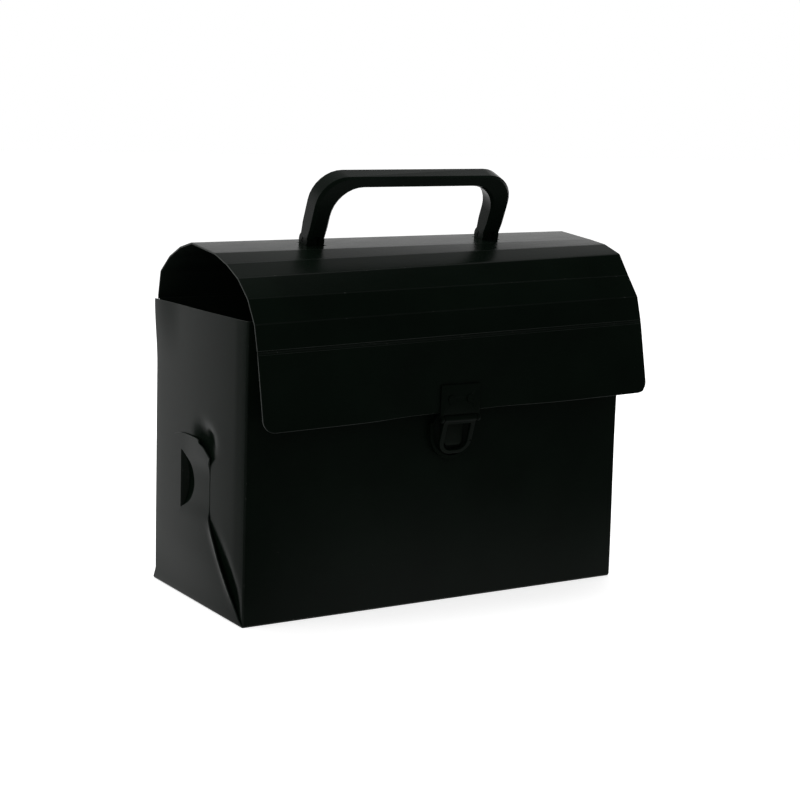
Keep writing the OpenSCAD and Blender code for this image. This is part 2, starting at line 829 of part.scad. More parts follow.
// Anchor under the lid: a floor below the foot, pads up to the sheet, and a tongue
module handle_anchor(side) {
    floor_z = -anchor_drop - anchor_t;
    color(moulding_colour) at_pivot() translate([side * leg_x, 0, 0]) difference() {
        union() {
            translate([-anchor_w / 2, -anchor_d / 2, floor_z])
                cube([anchor_w, anchor_d, anchor_t]);
            for (way = [-1, 1])
                translate([-anchor_w / 2, way * (anchor_d - anchor_pad) / 2 - anchor_pad / 2, floor_z])
                    cube([anchor_w, anchor_pad, -anchor_pad_top - floor_z]);
            translate([-tongue_t / 2, -tongue_r, floor_z])
                cube([tongue_t, 2 * tongue_r, -floor_z]);
            x_rod(tongue_r, tongue_t);
        }
        x_rod(pivot_pin_r + pin_play, tongue_t + 2 * cut);
    }
}

module left_handle_anchor() {
    handle_anchor(-1);
}

module right_handle_anchor() {
    handle_anchor(1);
}

base_panel();
front_panel();
back_panel();
left_side_panel();
right_side_panel();
left_base_tuck();
right_base_tuck();
left_rear_tuck();
right_rear_tuck();
lid_rear_strip_1();
lid_rear_strip_2();
lid_rear_strip_3();
lid_rear_strip_4();
lid_top_strip();
lid_front_strip_1();
lid_front_strip_2();
lid_front_strip_3();
lid_front_strip_4();
lid_front_strip_5();
front_flap();
lock_plate();
lock_plate_rivets();
lock_hinge_pin();
lock_loop();
lock_base();
lock_base_rivets();
lock_back_cup();
lock_button();
lock_spring();
handle();
handle_pivot_pins();
left_handle_anchor();
right_handle_anchor();
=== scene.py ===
"""Looks of a carrying case folded from one black plastic sheet.

The sub-assemblies are the folded case, the vault lid, the front flap, the push lock and the
handle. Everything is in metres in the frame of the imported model: +X right, +Y back, +Z up.
"""

import json
import logging
import math
from collections.abc import Callable, Sequence
from dataclasses import dataclass, field
from enum import Enum

import bpy
from mathutils import Matrix, Vector
from mathutils.geometry import delaunay_2d_cdt


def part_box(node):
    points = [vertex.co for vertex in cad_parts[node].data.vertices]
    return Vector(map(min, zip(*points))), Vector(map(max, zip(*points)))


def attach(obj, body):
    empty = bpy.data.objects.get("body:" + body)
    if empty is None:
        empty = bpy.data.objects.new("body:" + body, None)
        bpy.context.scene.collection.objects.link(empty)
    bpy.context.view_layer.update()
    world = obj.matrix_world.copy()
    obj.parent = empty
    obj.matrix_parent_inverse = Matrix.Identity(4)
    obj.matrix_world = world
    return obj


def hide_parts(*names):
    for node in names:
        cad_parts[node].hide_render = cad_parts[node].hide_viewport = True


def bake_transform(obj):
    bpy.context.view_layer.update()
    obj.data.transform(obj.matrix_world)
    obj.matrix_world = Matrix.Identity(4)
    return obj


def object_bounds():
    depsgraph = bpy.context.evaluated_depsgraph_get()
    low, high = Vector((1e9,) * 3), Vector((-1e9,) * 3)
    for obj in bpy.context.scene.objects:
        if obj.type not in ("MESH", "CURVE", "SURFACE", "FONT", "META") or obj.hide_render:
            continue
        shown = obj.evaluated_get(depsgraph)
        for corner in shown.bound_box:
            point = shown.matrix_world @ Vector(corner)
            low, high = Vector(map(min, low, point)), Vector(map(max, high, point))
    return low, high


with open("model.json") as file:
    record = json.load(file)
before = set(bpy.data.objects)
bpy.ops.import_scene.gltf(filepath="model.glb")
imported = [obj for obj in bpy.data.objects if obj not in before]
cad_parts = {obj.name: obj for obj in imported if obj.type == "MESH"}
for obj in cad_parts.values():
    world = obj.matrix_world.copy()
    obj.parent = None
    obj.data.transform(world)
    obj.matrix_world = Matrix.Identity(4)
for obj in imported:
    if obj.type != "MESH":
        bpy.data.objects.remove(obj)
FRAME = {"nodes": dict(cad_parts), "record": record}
CAD_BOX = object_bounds()
LOG = logging.getLogger("folded_case")
MM = 0.001
TINY = 1e-6
SHEET_SHARP = math.radians(28)
BEVELLED_SHARP = math.radians(50)
BARE_SHARP = math.radians(15)
BEVEL_ANGLE = math.radians(30)
WELD_REACH = 0.002 * MM
ANCHOR_EDGE = 0.3 * MM
STEEL_EDGE = 0.1 * MM

Point2 = tuple[float, float]
Point3 = tuple[float, float, float]
Colour = tuple[float, float, float]
Placer = Callable[[float, float, float], Vector]
Socket = bpy.types.NodeSocket
Value = Socket | Sequence[float] | float


class Face(Enum):
    """Kinds of face on a cut sheet, in the order of the material slots of its mesh."""

    PLAIN = 0
    CUT_EDGE = 1
    CREASE = 2
    INNER = 3


# ---- Small geometry helpers ----


def lerp(a: Sequence[float], b: Sequence[float], share: float) -> tuple[float, ...]:
    """Point at share of the way from a to b."""
    return tuple(p + (q - p) * share for p, q in zip(a, b))


def smooth(value: float) -> float:
    """Smooth step of value, held between 0 and 1."""
    t = min(max(value, 0.0), 1.0)
    return t * t * (3 - 2 * t)


def ramp(value: float, start: float, end: float) -> float:
    """Smooth step from 0 where value is start to 1 where it is end."""
    return smooth((value - start) / (end - start))


def bump(offset: float, half_width: float) -> float:
    """Smooth hill of height 1 that falls to 0 at half_width from its middle."""
    return smooth(1 - abs(offset) / half_width)


def spaced(start: float, end: float, step: float) -> list[float]:
    """Even stations from start to end, at most step apart."""
    count = max(1, math.ceil((end - start) / step))
    return [start + (end - start) * i / count for i in range(count + 1)]


def arc(centre: Point2, radius: float, start: float, end: float, steps: int) -> list[Point2]:
    """Points on an arc.

    Args:
        centre: Centre of the arc.
        radius: Radius of the arc.
        start: First angle in degrees.
        end: Last angle in degrees.
        steps: Number of straight pieces.

    Returns:
        The points in order.
    """
    angles = [math.radians(start + (end - start) * i / steps) for i in range(steps + 1)]
    return [(centre[0] + radius * math.cos(a), centre[1] + radius * math.sin(a)) for a in angles]


def smooth_curve(points: Sequence[Point2], steps: int) -> list[Point2]:
    """Catmull-Rom curve through points, without the last one.

    Args:
        points: Points that the curve passes through.
        steps: Pieces between two neighbouring points.

    Returns:
        Points on the curve.
    """
    padded = [points[0], *points, points[-1]]
    result = []
    for i in range(1, len(padded) - 2):
        p0, p1, p2, p3 = padded[i - 1 : i + 3]
        for s in range(steps):
            t = s / steps
            result.append(tuple(
                0.5 * (2 * b + (c - a) * t + (2 * a - 5 * b + 4 * c - d) * t * t
                       + (3 * b - a - 3 * c + d) * t * t * t)
                for a, b, c, d in zip(p0, p1, p2, p3)
            ))
    return result


def inside(point: Point2, loop: Sequence[Point2]) -> bool:
    """Tells whether a point lies within a closed loop.

    Args:
        point: Point to look for.
        loop: Corners of the loop in order.

    Returns:
        True if the point is inside.
    """
    x, y = point
    found = False
    for (ax, ay), (bx, by) in zip(loop, [*loop[1:], loop[0]]):
        if (ay > y) != (by > y) and x < ax + (bx - ax) * (y - ay) / (by - ay):
            found = not found
    return found


def segment_distance(point: Point2, a: Point2, b: Point2) -> float:
    """Distance from a point to a straight stretch.

    Args:
        point: Point to measure from.
        a: One end of the stretch.
        b: Its other end.

    Returns:
        The shortest distance.
    """
    dx, dy = b[0] - a[0], b[1] - a[1]
    span = dx * dx + dy * dy
    t = 0.0 if span < TINY**2 else ((point[0] - a[0]) * dx + (point[1] - a[1]) * dy) / span
    t = min(max(t, 0.0), 1.0)
    return math.hypot(point[0] - a[0] - t * dx, point[1] - a[1] - t * dy)


@dataclass
class FoldLine:
    """Cut through a folded sheet: straight stretches joined by small rounded folds.

    Attributes:
        corners: End points and fold points of the middle of the sheet.
        reach: Length of each stretch that a fold's rounding takes up.
        stations: Distances of the corners along the sheet.
    """

    corners: list[Point2]
    reach: float
    stations: list[float] = field(init=False)

    def __post_init__(self) -> None:
        """Adds up the distances of the corners along the sheet."""
        self.stations = [0.0]
        for a, b in zip(self.corners, self.corners[1:]):
            self.stations.append(self.stations[-1] + math.dist(a, b))

    @property
    def length(self) -> float:
        """Length of the whole line."""
        return self.stations[-1]

    def fold_rows(self, steps: int = 4) -> list[float]:
        """Stations across each rounded fold.

        Args:
            steps: Pieces that the rounding is cut into.

        Returns:
            Distances along the sheet.
        """
        return [
            s + self.reach * (2 * i / steps - 1)
            for s in self.stations[1:-1]
            for i in range(steps + 1)
        ]

    def at(self, distance: float) -> tuple[Point2, Point2]:
        """Place and direction at a distance along the sheet.

        Args:
            distance: Distance from the first corner.

        Returns:
            The point, and the unit direction there.
        """
        last = len(self.corners) - 2
        k = max(i for i in range(last + 1) if i == 0 or self.stations[i] <= distance)
        for fold in (k, k + 1):
            if 0 < fold <= last and abs(distance - self.stations[fold]) < self.reach:
                return self._rounded(fold, distance)
        a, b = self.corners[k], self.corners[k + 1]
        span = self.stations[k + 1] - self.stations[k]
        way = ((b[0] - a[0]) / span, (b[1] - a[1]) / span)
        run = distance - self.stations[k]
        return (a[0] + way[0] * run, a[1] + way[1] * run), way

    def _rounded(self, fold: int, distance: float) -> tuple[Point2, Point2]:
        """Place and direction on the rounding of a fold.

        Args:
            fold: Number of the corner.
            distance: Distance along the sheet, within the rounding.

        Returns:
            The point, and the unit direction there.
        """
        t = (distance - self.stations[fold] + self.reach) / (2 * self.reach)
        middle = self.corners[fold]
        before = lerp(middle, self.corners[fold - 1],
                      self.reach / (self.stations[fold] - self.stations[fold - 1]))
        after = lerp(middle, self.corners[fold + 1],
                     self.reach / (self.stations[fold + 1] - self.stations[fold]))
        point = tuple(
            (1 - t) ** 2 * a + 2 * t * (1 - t) * b + t * t * c
            for a, b, c in zip(before, middle, after)
        )
        way = tuple(2 * (1 - t) * (b - a) + 2 * t * (c - b) for a, b, c in zip(before, middle, after))
        size = math.hypot(*way)
        return point, (way[0] / size, way[1] / size)


@dataclass
class CutSheet:
    """A piece of sheet: a flat cut with holes, put into its folded place.

    Attributes:
        name: Name of the piece.
        outline: Outer cut, counter-clockwise in flat sheet coordinates (u, v).
        place: Maps flat u, v and the height w off the middle of the sheet to a place.
        us: Stations across u where the folded sheet may bend.
        vs: Stations across v where the folded sheet may bend.
        thickness: Thickness of the sheet.
        holes: Inner cuts, clockwise.
        u_folds: Stations of the folds that cross u.
        v_folds: Stations of the folds that cross v.
        fold_reach: Half the width of the whitened band along a fold.
        rim: Rounding of the cut edges.
        merge: Distance below which two points of a cut are one.
        inner_gap: Least distance of an inner point from a cut.
        mitre: Least value that a corner's sharpness is taken as when the rim is moved in.
    """

    name: str
    outline: list[Point2]
    place: Placer
    us: list[float]
    vs: list[float]
    thickness: float
    holes: list[list[Point2]] = field(default_factory=list)
    u_folds: list[float] = field(default_factory=list)
    v_folds: list[float] = field(default_factory=list)
    fold_reach: float = 0.45 * MM
    rim: float = 0.14 * MM
    merge: float = 0.02 * MM
    inner_gap: float = 0.25 * MM
    mitre: float = 0.35

    def _split(self, loop: list[Point2]) -> list[Point2]:
        """Adds a point to a loop wherever it crosses a station.

        Args:
            loop: Corners of the cut.

        Returns:
            The corners and the added points in order.
        """
        points: list[Point2] = []
        for a, b in zip(loop, [*loop[1:], loop[0]]):
            shares = [0.0]
            for axis, lines in ((0, self.us), (1, self.vs)):
                span = b[axis] - a[axis]
                if abs(span) > TINY:
                    shares += [(line - a[axis]) / span for line in lines]
            for share in sorted(s for s in shares if 0 <= s < 1):
                point = lerp(a, b, share)
                if not points or math.dist(point, points[-1]) > self.merge:
                    points.append(point)
        if math.dist(points[0], points[-1]) < self.merge:
            points.pop()
        return points

    def _inset(self, loop: list[Point2]) -> list[Point2]:
        """Moves a loop into the material by the rim.

        Args:
            loop: Points of the cut.

        Returns:
            The moved points.
        """
        result = []
        for before, here, after in zip([loop[-1], *loop[:-1]], loop, [*loop[1:], loop[0]]):
            normals = []
            for a, b in ((before, here), (here, after)):
                size = math.dist(a, b)
                normals.append(((a[1] - b[1]) / size, (b[0] - a[0]) / size))
            (n1x, n1y), (n2x, n2y) = normals
            scale = self.rim / max(self.mitre, 1 + n1x * n2x + n1y * n2y)
            result.append((here[0] + (n1x + n2x) * scale, here[1] + (n1y + n2y) * scale))
        return result

    def _kind(self, u: float, v: float) -> Face:
        """Kind of a face of the sheet.

        Args:
            u: Middle of the face in u.
            v: Middle of the face in v.

        Returns:
            CREASE within reach of a fold, otherwise PLAIN.
        """
        gaps = [abs(u - fold) for fold in self.u_folds] + [abs(v - fold) for fold in self.v_folds]
        return Face.CREASE if min(gaps, default=math.inf) < self.fold_reach else Face.PLAIN

    def build(self) -> bpy.types.Object:
        """Builds the closed mesh of the piece.

        Returns:
            The new object, in its place in the row frame.
        """
        loops = [self._split(loop) for loop in (self.outline, *self.holes)]
        insets = [self._inset(loop) for loop in loops]
        points = [p for loop in insets for p in loop]
        edges, firsts = [], []
        for loop in insets:
            first = sum(len(other) for other in insets[: len(firsts)])
            firsts.append(first)
            edges += [(first + i, first + (i + 1) % len(loop)) for i in range(len(loop))]
        sides = [(points[a], points[b]) for a, b in edges]

        def solid(point: Point2) -> bool:
            """True if point lies on the sheet and in no hole."""
            return inside(point, insets[0]) and not any(inside(point, hole) for hole in insets[1:])

        for point in ((u, v) for u in self.us for v in self.vs):
            if solid(point) and min(segment_distance(point, a, b) for a, b in sides) > self.inner_gap:
                points.append(point)
        flat, _, faces, origins, _, _ = delaunay_2d_cdt(
            [Vector(p) for p in points], edges, [], 0, TINY * MM
        )
        index = {old: new for new, olds in enumerate(origins) for old in olds}
        half = self.thickness / 2
        verts = [self.place(*p, side) for side in (half, -half) for p in flat]
        polygons, kinds = [], []
        under = len(flat)
        for face in faces:
            u = sum(flat[i][0] for i in face) / len(face)
            v = sum(flat[i][1] for i in face) / len(face)
            if solid((u, v)):
                polygons += [tuple(face), tuple(i + under for i in reversed(face))]
                kinds += [self._kind(u, v), Face.INNER]
        for loop, first in zip(loops, firsts):
            base = len(verts)
            count = len(loop)
            verts += [self.place(*p, side) for side in (half - self.rim, self.rim - half) for p in loop]
            for i in range(count):
                j = (i + 1) % count
                top = index[first + i], index[first + j]
                upper = base + i, base + j
                lower = base + count + i, base + count + j
                polygons += [
                    (top[1], top[0], upper[0], upper[1]),
                    (upper[1], upper[0], lower[0], lower[1]),
                    (lower[1], lower[0], top[0] + under, top[1] + under),
                ]
                kinds += [Face.CUT_EDGE] * 3
        return make_object(self.name, verts, polygons, kinds)


def make_object(
    name: str,
    verts: Sequence[Vector],
    polygons: Sequence[tuple[int, ...]],
    kinds: Sequence[Face],
) -> bpy.types.Object:
    """Makes an object from vertices and faces.

    Args:
        name: Name of the object.
        verts: Vertices in the row frame.
        polygons: Faces, counter-clockwise seen from outside.
        kinds: Kind of each face, which picks its material slot.

    Returns:
        The object, linked to the scene and shaded smooth across blunt edges.
    """
    mesh = bpy.data.meshes.new(name)
    mesh.from_pydata([tuple(v) for v in verts], [], polygons)
    mesh.polygons.foreach_set("material_index", [kind.value for kind in kinds])
    mesh.validate()
    volume = sum(
        mesh.vertices[p.vertices[0]].co.dot(
            mesh.vertices[p.vertices[i]].co.cross(mesh.vertices[p.vertices[i + 1]].co)
        )
        for p in mesh.polygons
        for i in range(1, len(p.vertices) - 1)
    )
    if volume < 0:
        mesh.flip_normals()
    mesh.shade_smooth()
    mesh.set_sharp_from_angle(angle=SHEET_SHARP)
    obj = bpy.data.objects.new(name, mesh)
    bpy.context.scene.collection.objects.link(obj)
    return obj


# ---- Finishes ----


class Ease(Enum):
    """How a remapped number goes from one end of its range to the other."""

    LINEAR = "LINEAR"
    SMOOTH = "SMOOTHSTEP"


class Blend(Enum):
    """What a mix node mixes: its type, its first input and its output."""

    NUMBER = ("FLOAT", 2, 0)
    COLOUR = ("RGBA", 6, 2)


@dataclass(frozen=True)
class Wiring:
    """Short ways to add nodes to a material or a world.

    Attributes:
        tree: Node tree that gets the nodes.
    """

    tree: bpy.types.NodeTree

    def put(self, socket: Socket, value: Value) -> None:
        """Fills an input.

        Args:
            socket: Input to fill.
            value: Output to link it to, or what to set it to.
        """
        if isinstance(value, Socket):
            self.tree.links.new(value, socket)
        else:
            socket.default_value = value

    def add(self, kind: str, **values: Value) -> bpy.types.Node:
        """Adds a node and fills its inputs.

        Args:
            kind: Type of the node.
            **values: What each named input gets.

        Returns:
            The new node.
        """
        node = self.tree.nodes.new(kind)
        for name, value in values.items():
            self.put(node.inputs[name], value)
        return node

    def combine(self, operation: str, first: Value, second: Value) -> Socket:
        """Works out one number from two.

        Args:
            operation: What a math node does with them.
            first: First number.
            second: Second number.

        Returns:
            The result.
        """
        node = self.tree.nodes.new("ShaderNodeMath")
        node.operation = operation
        for socket, value in zip(node.inputs, (first, second)):
            self.put(socket, value)
        return node.outputs[0]

    def remap(self, source: Socket, start: Point2, end: Point2, ease: Ease = Ease.LINEAR) -> Socket:
        """Maps a number from one range to another, and holds it there.

        Args:
            source: Number to map.
            start: Range that it is in.
            end: Range that it goes to.
            ease: How it goes from one end to the other.

        Returns:
            The mapped number.
        """
        node = self.tree.nodes.new("ShaderNodeMapRange")
        node.interpolation_type = ease.value
        for socket, value in zip(node.inputs, (source, *start, *end)):
            self.put(socket, value)
        return node.outputs[0]

    def mix(self, blend: Blend, share: Socket, first: Value, second: Value) -> Socket:
        """Mixes two numbers or colours.

        Args:
            blend: What is mixed.
            share: Share of the second one.
            first: What stands where share is 0.
            second: What stands where share is 1.

        Returns:
            The mixed number or colour.
        """
        kind, number, output = blend.value
        node = self.tree.nodes.new("ShaderNodeMix")
        node.data_type = kind
        for place, value in ((0, share), (number, first), (number + 1, second)):
            self.put(node.inputs[place], value)
        return node.outputs[output]

    def noise(self, size: float, detail: float, stretch: Point3 = (1, 1, 1)) -> Socket:
        """Noise texture in the frame of the piece.

        Args:
            size: Size of a feature.
            detail: How many finer layers it has.
            stretch: How much finer it is along each axis.

        Returns:
            The noise, from 0 to 1.
        """
        place = self.add("ShaderNodeTexCoord").outputs["Object"]
        mapping = self.add("ShaderNodeMapping", Vector=place, Scale=[s / size for s in stretch])
        vector = mapping.outputs["Vector"]
        return self.add("ShaderNodeTexNoise", Vector=vector, Scale=1.0, Detail=detail).outputs["Fac"]

    def relief(self, depth: float, height: Socket, **under: Socket) -> Socket:
        """Bump of a given depth; under may name the Normal that it is laid over."""
        return self.add("ShaderNodeBump", Strength=1.0, Distance=depth, Height=height, **under).outputs[0]

    def rays(self) -> tuple[Socket, Socket]:
        """Two switches by kind of ray.

        Returns:
            1 for what the camera sees straight, in gloss or in glass, and 1 for gloss alone.
        """
        path = self.add("ShaderNodeLightPath").outputs
        seen = path["Is Camera Ray"]
        for name in ("Is Glossy Ray", "Is Transmission Ray"):
            seen = self.combine("MAXIMUM", seen, path[name])
        return seen, path["Is Glossy Ray"]


@dataclass(frozen=True)
class Finish:
    """A finish that becomes one material.

    Attributes:
        name: Name of the material.
        colour: Base colour, linear.
        roughness: Roughness of the clean surface.
    """

    name: str
    colour: Colour
    roughness: float

    def material(self) -> bpy.types.Material:
        """The node material of this finish, made once.

        Returns:
            The material.
        """
        known = bpy.data.materials.get(self.name)
        if known is not None:
            return known
        material = bpy.data.materials.new(self.name)
        material.use_nodes = True
        wiring = Wiring(material.node_tree)
        shader = material.node_tree.nodes["Principled BSDF"]
        for name, value in self.surface(wiring).items():
            wiring.put(shader.inputs[name], value)
        return material

    def surface(self, wiring: Wiring) -> dict[str, Value]:
        """What the shader's inputs get, by name."""
        raise NotImplementedError


@dataclass(frozen=True)
class PlasticFinish(Finish):
    """Black plastic: moulded grain, faint mottling, drawn streaks, dust and worn spots.

    Attributes:
        worn_colour: Colour of dust specks and rubbed spots, linear.
        worn_share: Noise level above which a spot shows.
        specular: Specular level of the surface.
        grain: Size of the moulded grain.
        grain_depth: Depth of the grain.
        wave: Size of the slow waves of the surface.
        wave_depth: Depth of the slow waves.
        worn_edge: Width of a spot's soft edge in noise level.
        speck: Size of the spots.
        mottle: Share by which the colour goes up and down.
        mottle_size: Size of the mottling.
        mottle_band: Noise levels between which the mottling goes.
        streak: Size of the streaks.
        streak_stretch: How much finer they are along each axis.
        streak_band: Noise levels between which the streaks go.
        streak_depth: Least and most that they add to the roughness.
    """

    worn_colour: Colour
    worn_share: float
    specular: float
    grain: float
    grain_depth: float
    wave: float
    wave_depth: float
    worn_edge: float = 0.04
    speck: float = 1.1 * MM
    mottle: float = 0.12
    mottle_size: float = 35 * MM
    mottle_band: Point2 = (0.35, 0.65)
    streak: float = 4 * MM
    streak_stretch: Point3 = (0.3, 1, 1)
    streak_band: Point2 = (0.3, 0.7)
    streak_depth: Point2 = (-0.015, 0.02)

    def surface(self, wiring: Wiring) -> dict[str, Value]:
        """What the shader's inputs get.

        Args:
            wiring: Wiring of the material.

        Returns:
            Values and sources by the name of the input.
        """
        deep, pale = (
            (*(share * c for c in self.colour), 1) for share in (1 - self.mottle, 1 + self.mottle)
        )
        cloud = wiring.remap(wiring.noise(self.mottle_size, detail=3), self.mottle_band, (0, 1))
        mottled = wiring.mix(Blend.COLOUR, cloud, deep, pale)
        worn = (self.worn_share, self.worn_share + self.worn_edge)
        specks = wiring.remap(wiring.noise(self.speck, detail=1), worn, (0, 1))
        lines = wiring.noise(self.streak, detail=4, stretch=self.streak_stretch)
        streaks = wiring.remap(lines, self.streak_band, self.streak_depth)
        slow = wiring.relief(self.wave_depth, wiring.noise(self.wave, detail=0))
        fine = wiring.relief(self.grain_depth, wiring.noise(self.grain, detail=2), Normal=slow)
        return {
            "Base Color": wiring.mix(Blend.COLOUR, specks, mottled, (*self.worn_colour, 1)),
            "Roughness": wiring.combine("ADD", streaks, self.roughness),
            "Specular IOR Level": self.specular,
            "Normal": fine,
        }


@dataclass(frozen=True)
class SteelFinish(Finish):
    """Plain drawn steel with fine lines along X and slight dulling.

    Attributes:
        fineness: Features of the drawn lines to the metre, along each axis.
        dark: Brightness of the darkest lines, as a share of the colour.
        dulling: What the dullest lines add to the roughness.
    """

    fineness: Point3 = (1500, 30000, 30000)
    dark: float = 0.6
    dulling: float = 0.25

    def surface(self, wiring: Wiring) -> dict[str, Value]:
        """What the shader's inputs get.

        Args:
            wiring: Wiring of the material.

        Returns:
            Values and sources by the name of the input.
        """
        lines = wiring.noise(1.0, detail=3, stretch=self.fineness)
        deep = (*(self.dark * c for c in self.colour), 1)
        rough = (self.roughness, self.roughness + self.dulling)
        return {
            "Metallic": 1.0,
            "Base Color": wiring.mix(Blend.COLOUR, lines, deep, (*self.colour, 1)),
            "Roughness": wiring.remap(lines, (0, 1), rough),
        }


BLACK = (0.0024, 0.0047, 0.003)
SHEET = PlasticFinish(
    name="satin_sheet", colour=BLACK, worn_colour=(0.04, 0.042, 0.04), worn_share=0.83,
    roughness=0.25, specular=0.055, grain=0.00035, grain_depth=0.000012,
    wave=0.04, wave_depth=0.00007,
)
# The cut edges' paler colour is partly the real pale cut face and partly a painted highlight, standing in
# for light caught by the rounded rim.
CUT_EDGE = PlasticFinish(
    name="cut_edge", colour=(0.012, 0.016, 0.013), worn_colour=(0.05, 0.052, 0.05),
    worn_share=0.7, roughness=0.42, specular=0.25, grain=0.0002, grain_depth=0.00001,
    wave=0.006, wave_depth=0.00002,
)
CREASE = PlasticFinish(
    name="pressed_crease", colour=(0.0042, 0.0066, 0.0048), worn_colour=(0.05, 0.052, 0.05),
    worn_share=0.72, roughness=0.34, specular=0.12, grain=0.0003, grain_depth=0.00001,
    wave=0.008, wave_depth=0.00003,
)
INNER_FACE = PlasticFinish(
    name="matt_inner_face", colour=(0.007, 0.011, 0.008), worn_colour=(0.05, 0.052, 0.05),
    worn_share=0.83, roughness=0.5, specular=0.12, grain=0.0004, grain_depth=0.00002,
    wave=0.03, wave_depth=0.00006,
)
MOULDING = PlasticFinish(
    name="moulded_gloss", colour=(0.0026, 0.005, 0.0033), worn_colour=(0.03, 0.033, 0.03),
    worn_share=0.83, roughness=0.27, specular=0.09, grain=0.0005, grain_depth=0.000006,
    wave=0.012, wave_depth=0.00005,
)
LOCK_MOULDING = PlasticFinish(
    name="lock_satin", colour=BLACK, worn_colour=(0.03, 0.033, 0.03), worn_share=0.83,
    roughness=0.33, specular=0.045, grain=0.0004, grain_depth=0.00001,
    wave=0.012, wave_depth=0.00003,
)
# The button's paler base colour is painted light: it stands in for the light that its upward-tilted face
# catches. Its higher roughness is the real matt finish.
BUTTON_WITH_PAINTED_LIGHT = PlasticFinish(
    name="button_matt", colour=(0.0055, 0.0085, 0.006), worn_colour=(0.04, 0.042, 0.04),
    worn_share=0.83, roughness=0.4, specular=0.1, grain=0.0003, grain_depth=0.00001,
    wave=0.01, wave_depth=0.00003,
)
STEEL = SteelFinish(name="drawn_steel", colour=(0.45, 0.46, 0.47), roughness=0.3)
BLACKED_STEEL = SteelFinish(name="blacked_steel", colour=(0.03, 0.032, 0.031), roughness=0.4)


def dress_sheet(obj: bpy.types.Object, body: str, *nodes: str) -> None:
    """Gives a cut sheet its finishes and lets it stand for its nodes.

    Args:
        obj: Piece made by CutSheet.
        body: Body that the piece moves with, or "" to leave it unattached.
        *nodes: Nodes that the piece stands for.
    """
    for finish in (SHEET, CUT_EDGE, CREASE, INNER_FACE):
        obj.data.materials.append(finish.material())
    if nodes:
        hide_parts(*nodes)
    if body:
        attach(obj, body)
    LOG.info("%s: %d faces, stands for %s", obj.name, len(obj.data.polygons), list(nodes))


def dress_node(node: str, finish: Finish, edge: float) -> None:
    """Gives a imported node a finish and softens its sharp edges.

    Args:
        node: Name of the node.
        finish: Finish of its whole surface.
        edge: Width of the rounding of its edges, or 0 to leave them as they are.
    """
    obj = FRAME["nodes"][node]
    obj.data.materials.clear()
    obj.data.materials.append(finish.material())
    weld = obj.modifiers.new("weld", "WELD")
    weld.merge_threshold = WELD_REACH
    if edge > 0:
        bevel = obj.modifiers.new("edges", "BEVEL")
        bevel.width = edge
        bevel.segments = 2
        bevel.limit_method = "ANGLE"
        bevel.angle_limit = BEVEL_ANGLE
        bevel.harden_normals = False
    normals = obj.modifiers.new("normals", "WEIGHTED_NORMAL")
    normals.keep_sharp = True
    obj.data.shade_smooth()
    obj.data.set_sharp_from_angle(angle=BEVELLED_SHARP if edge > 0 else BARE_SHARP)
    LOG.info("%s: dressed in %s", node, finish.name)


def joint(name: str) -> dict:
    """The record's joint of that name."""
    return next(j for j in FRAME["record"]["behaviour"]["joints"] if j["name"] == name)


# ---- The folded case ----


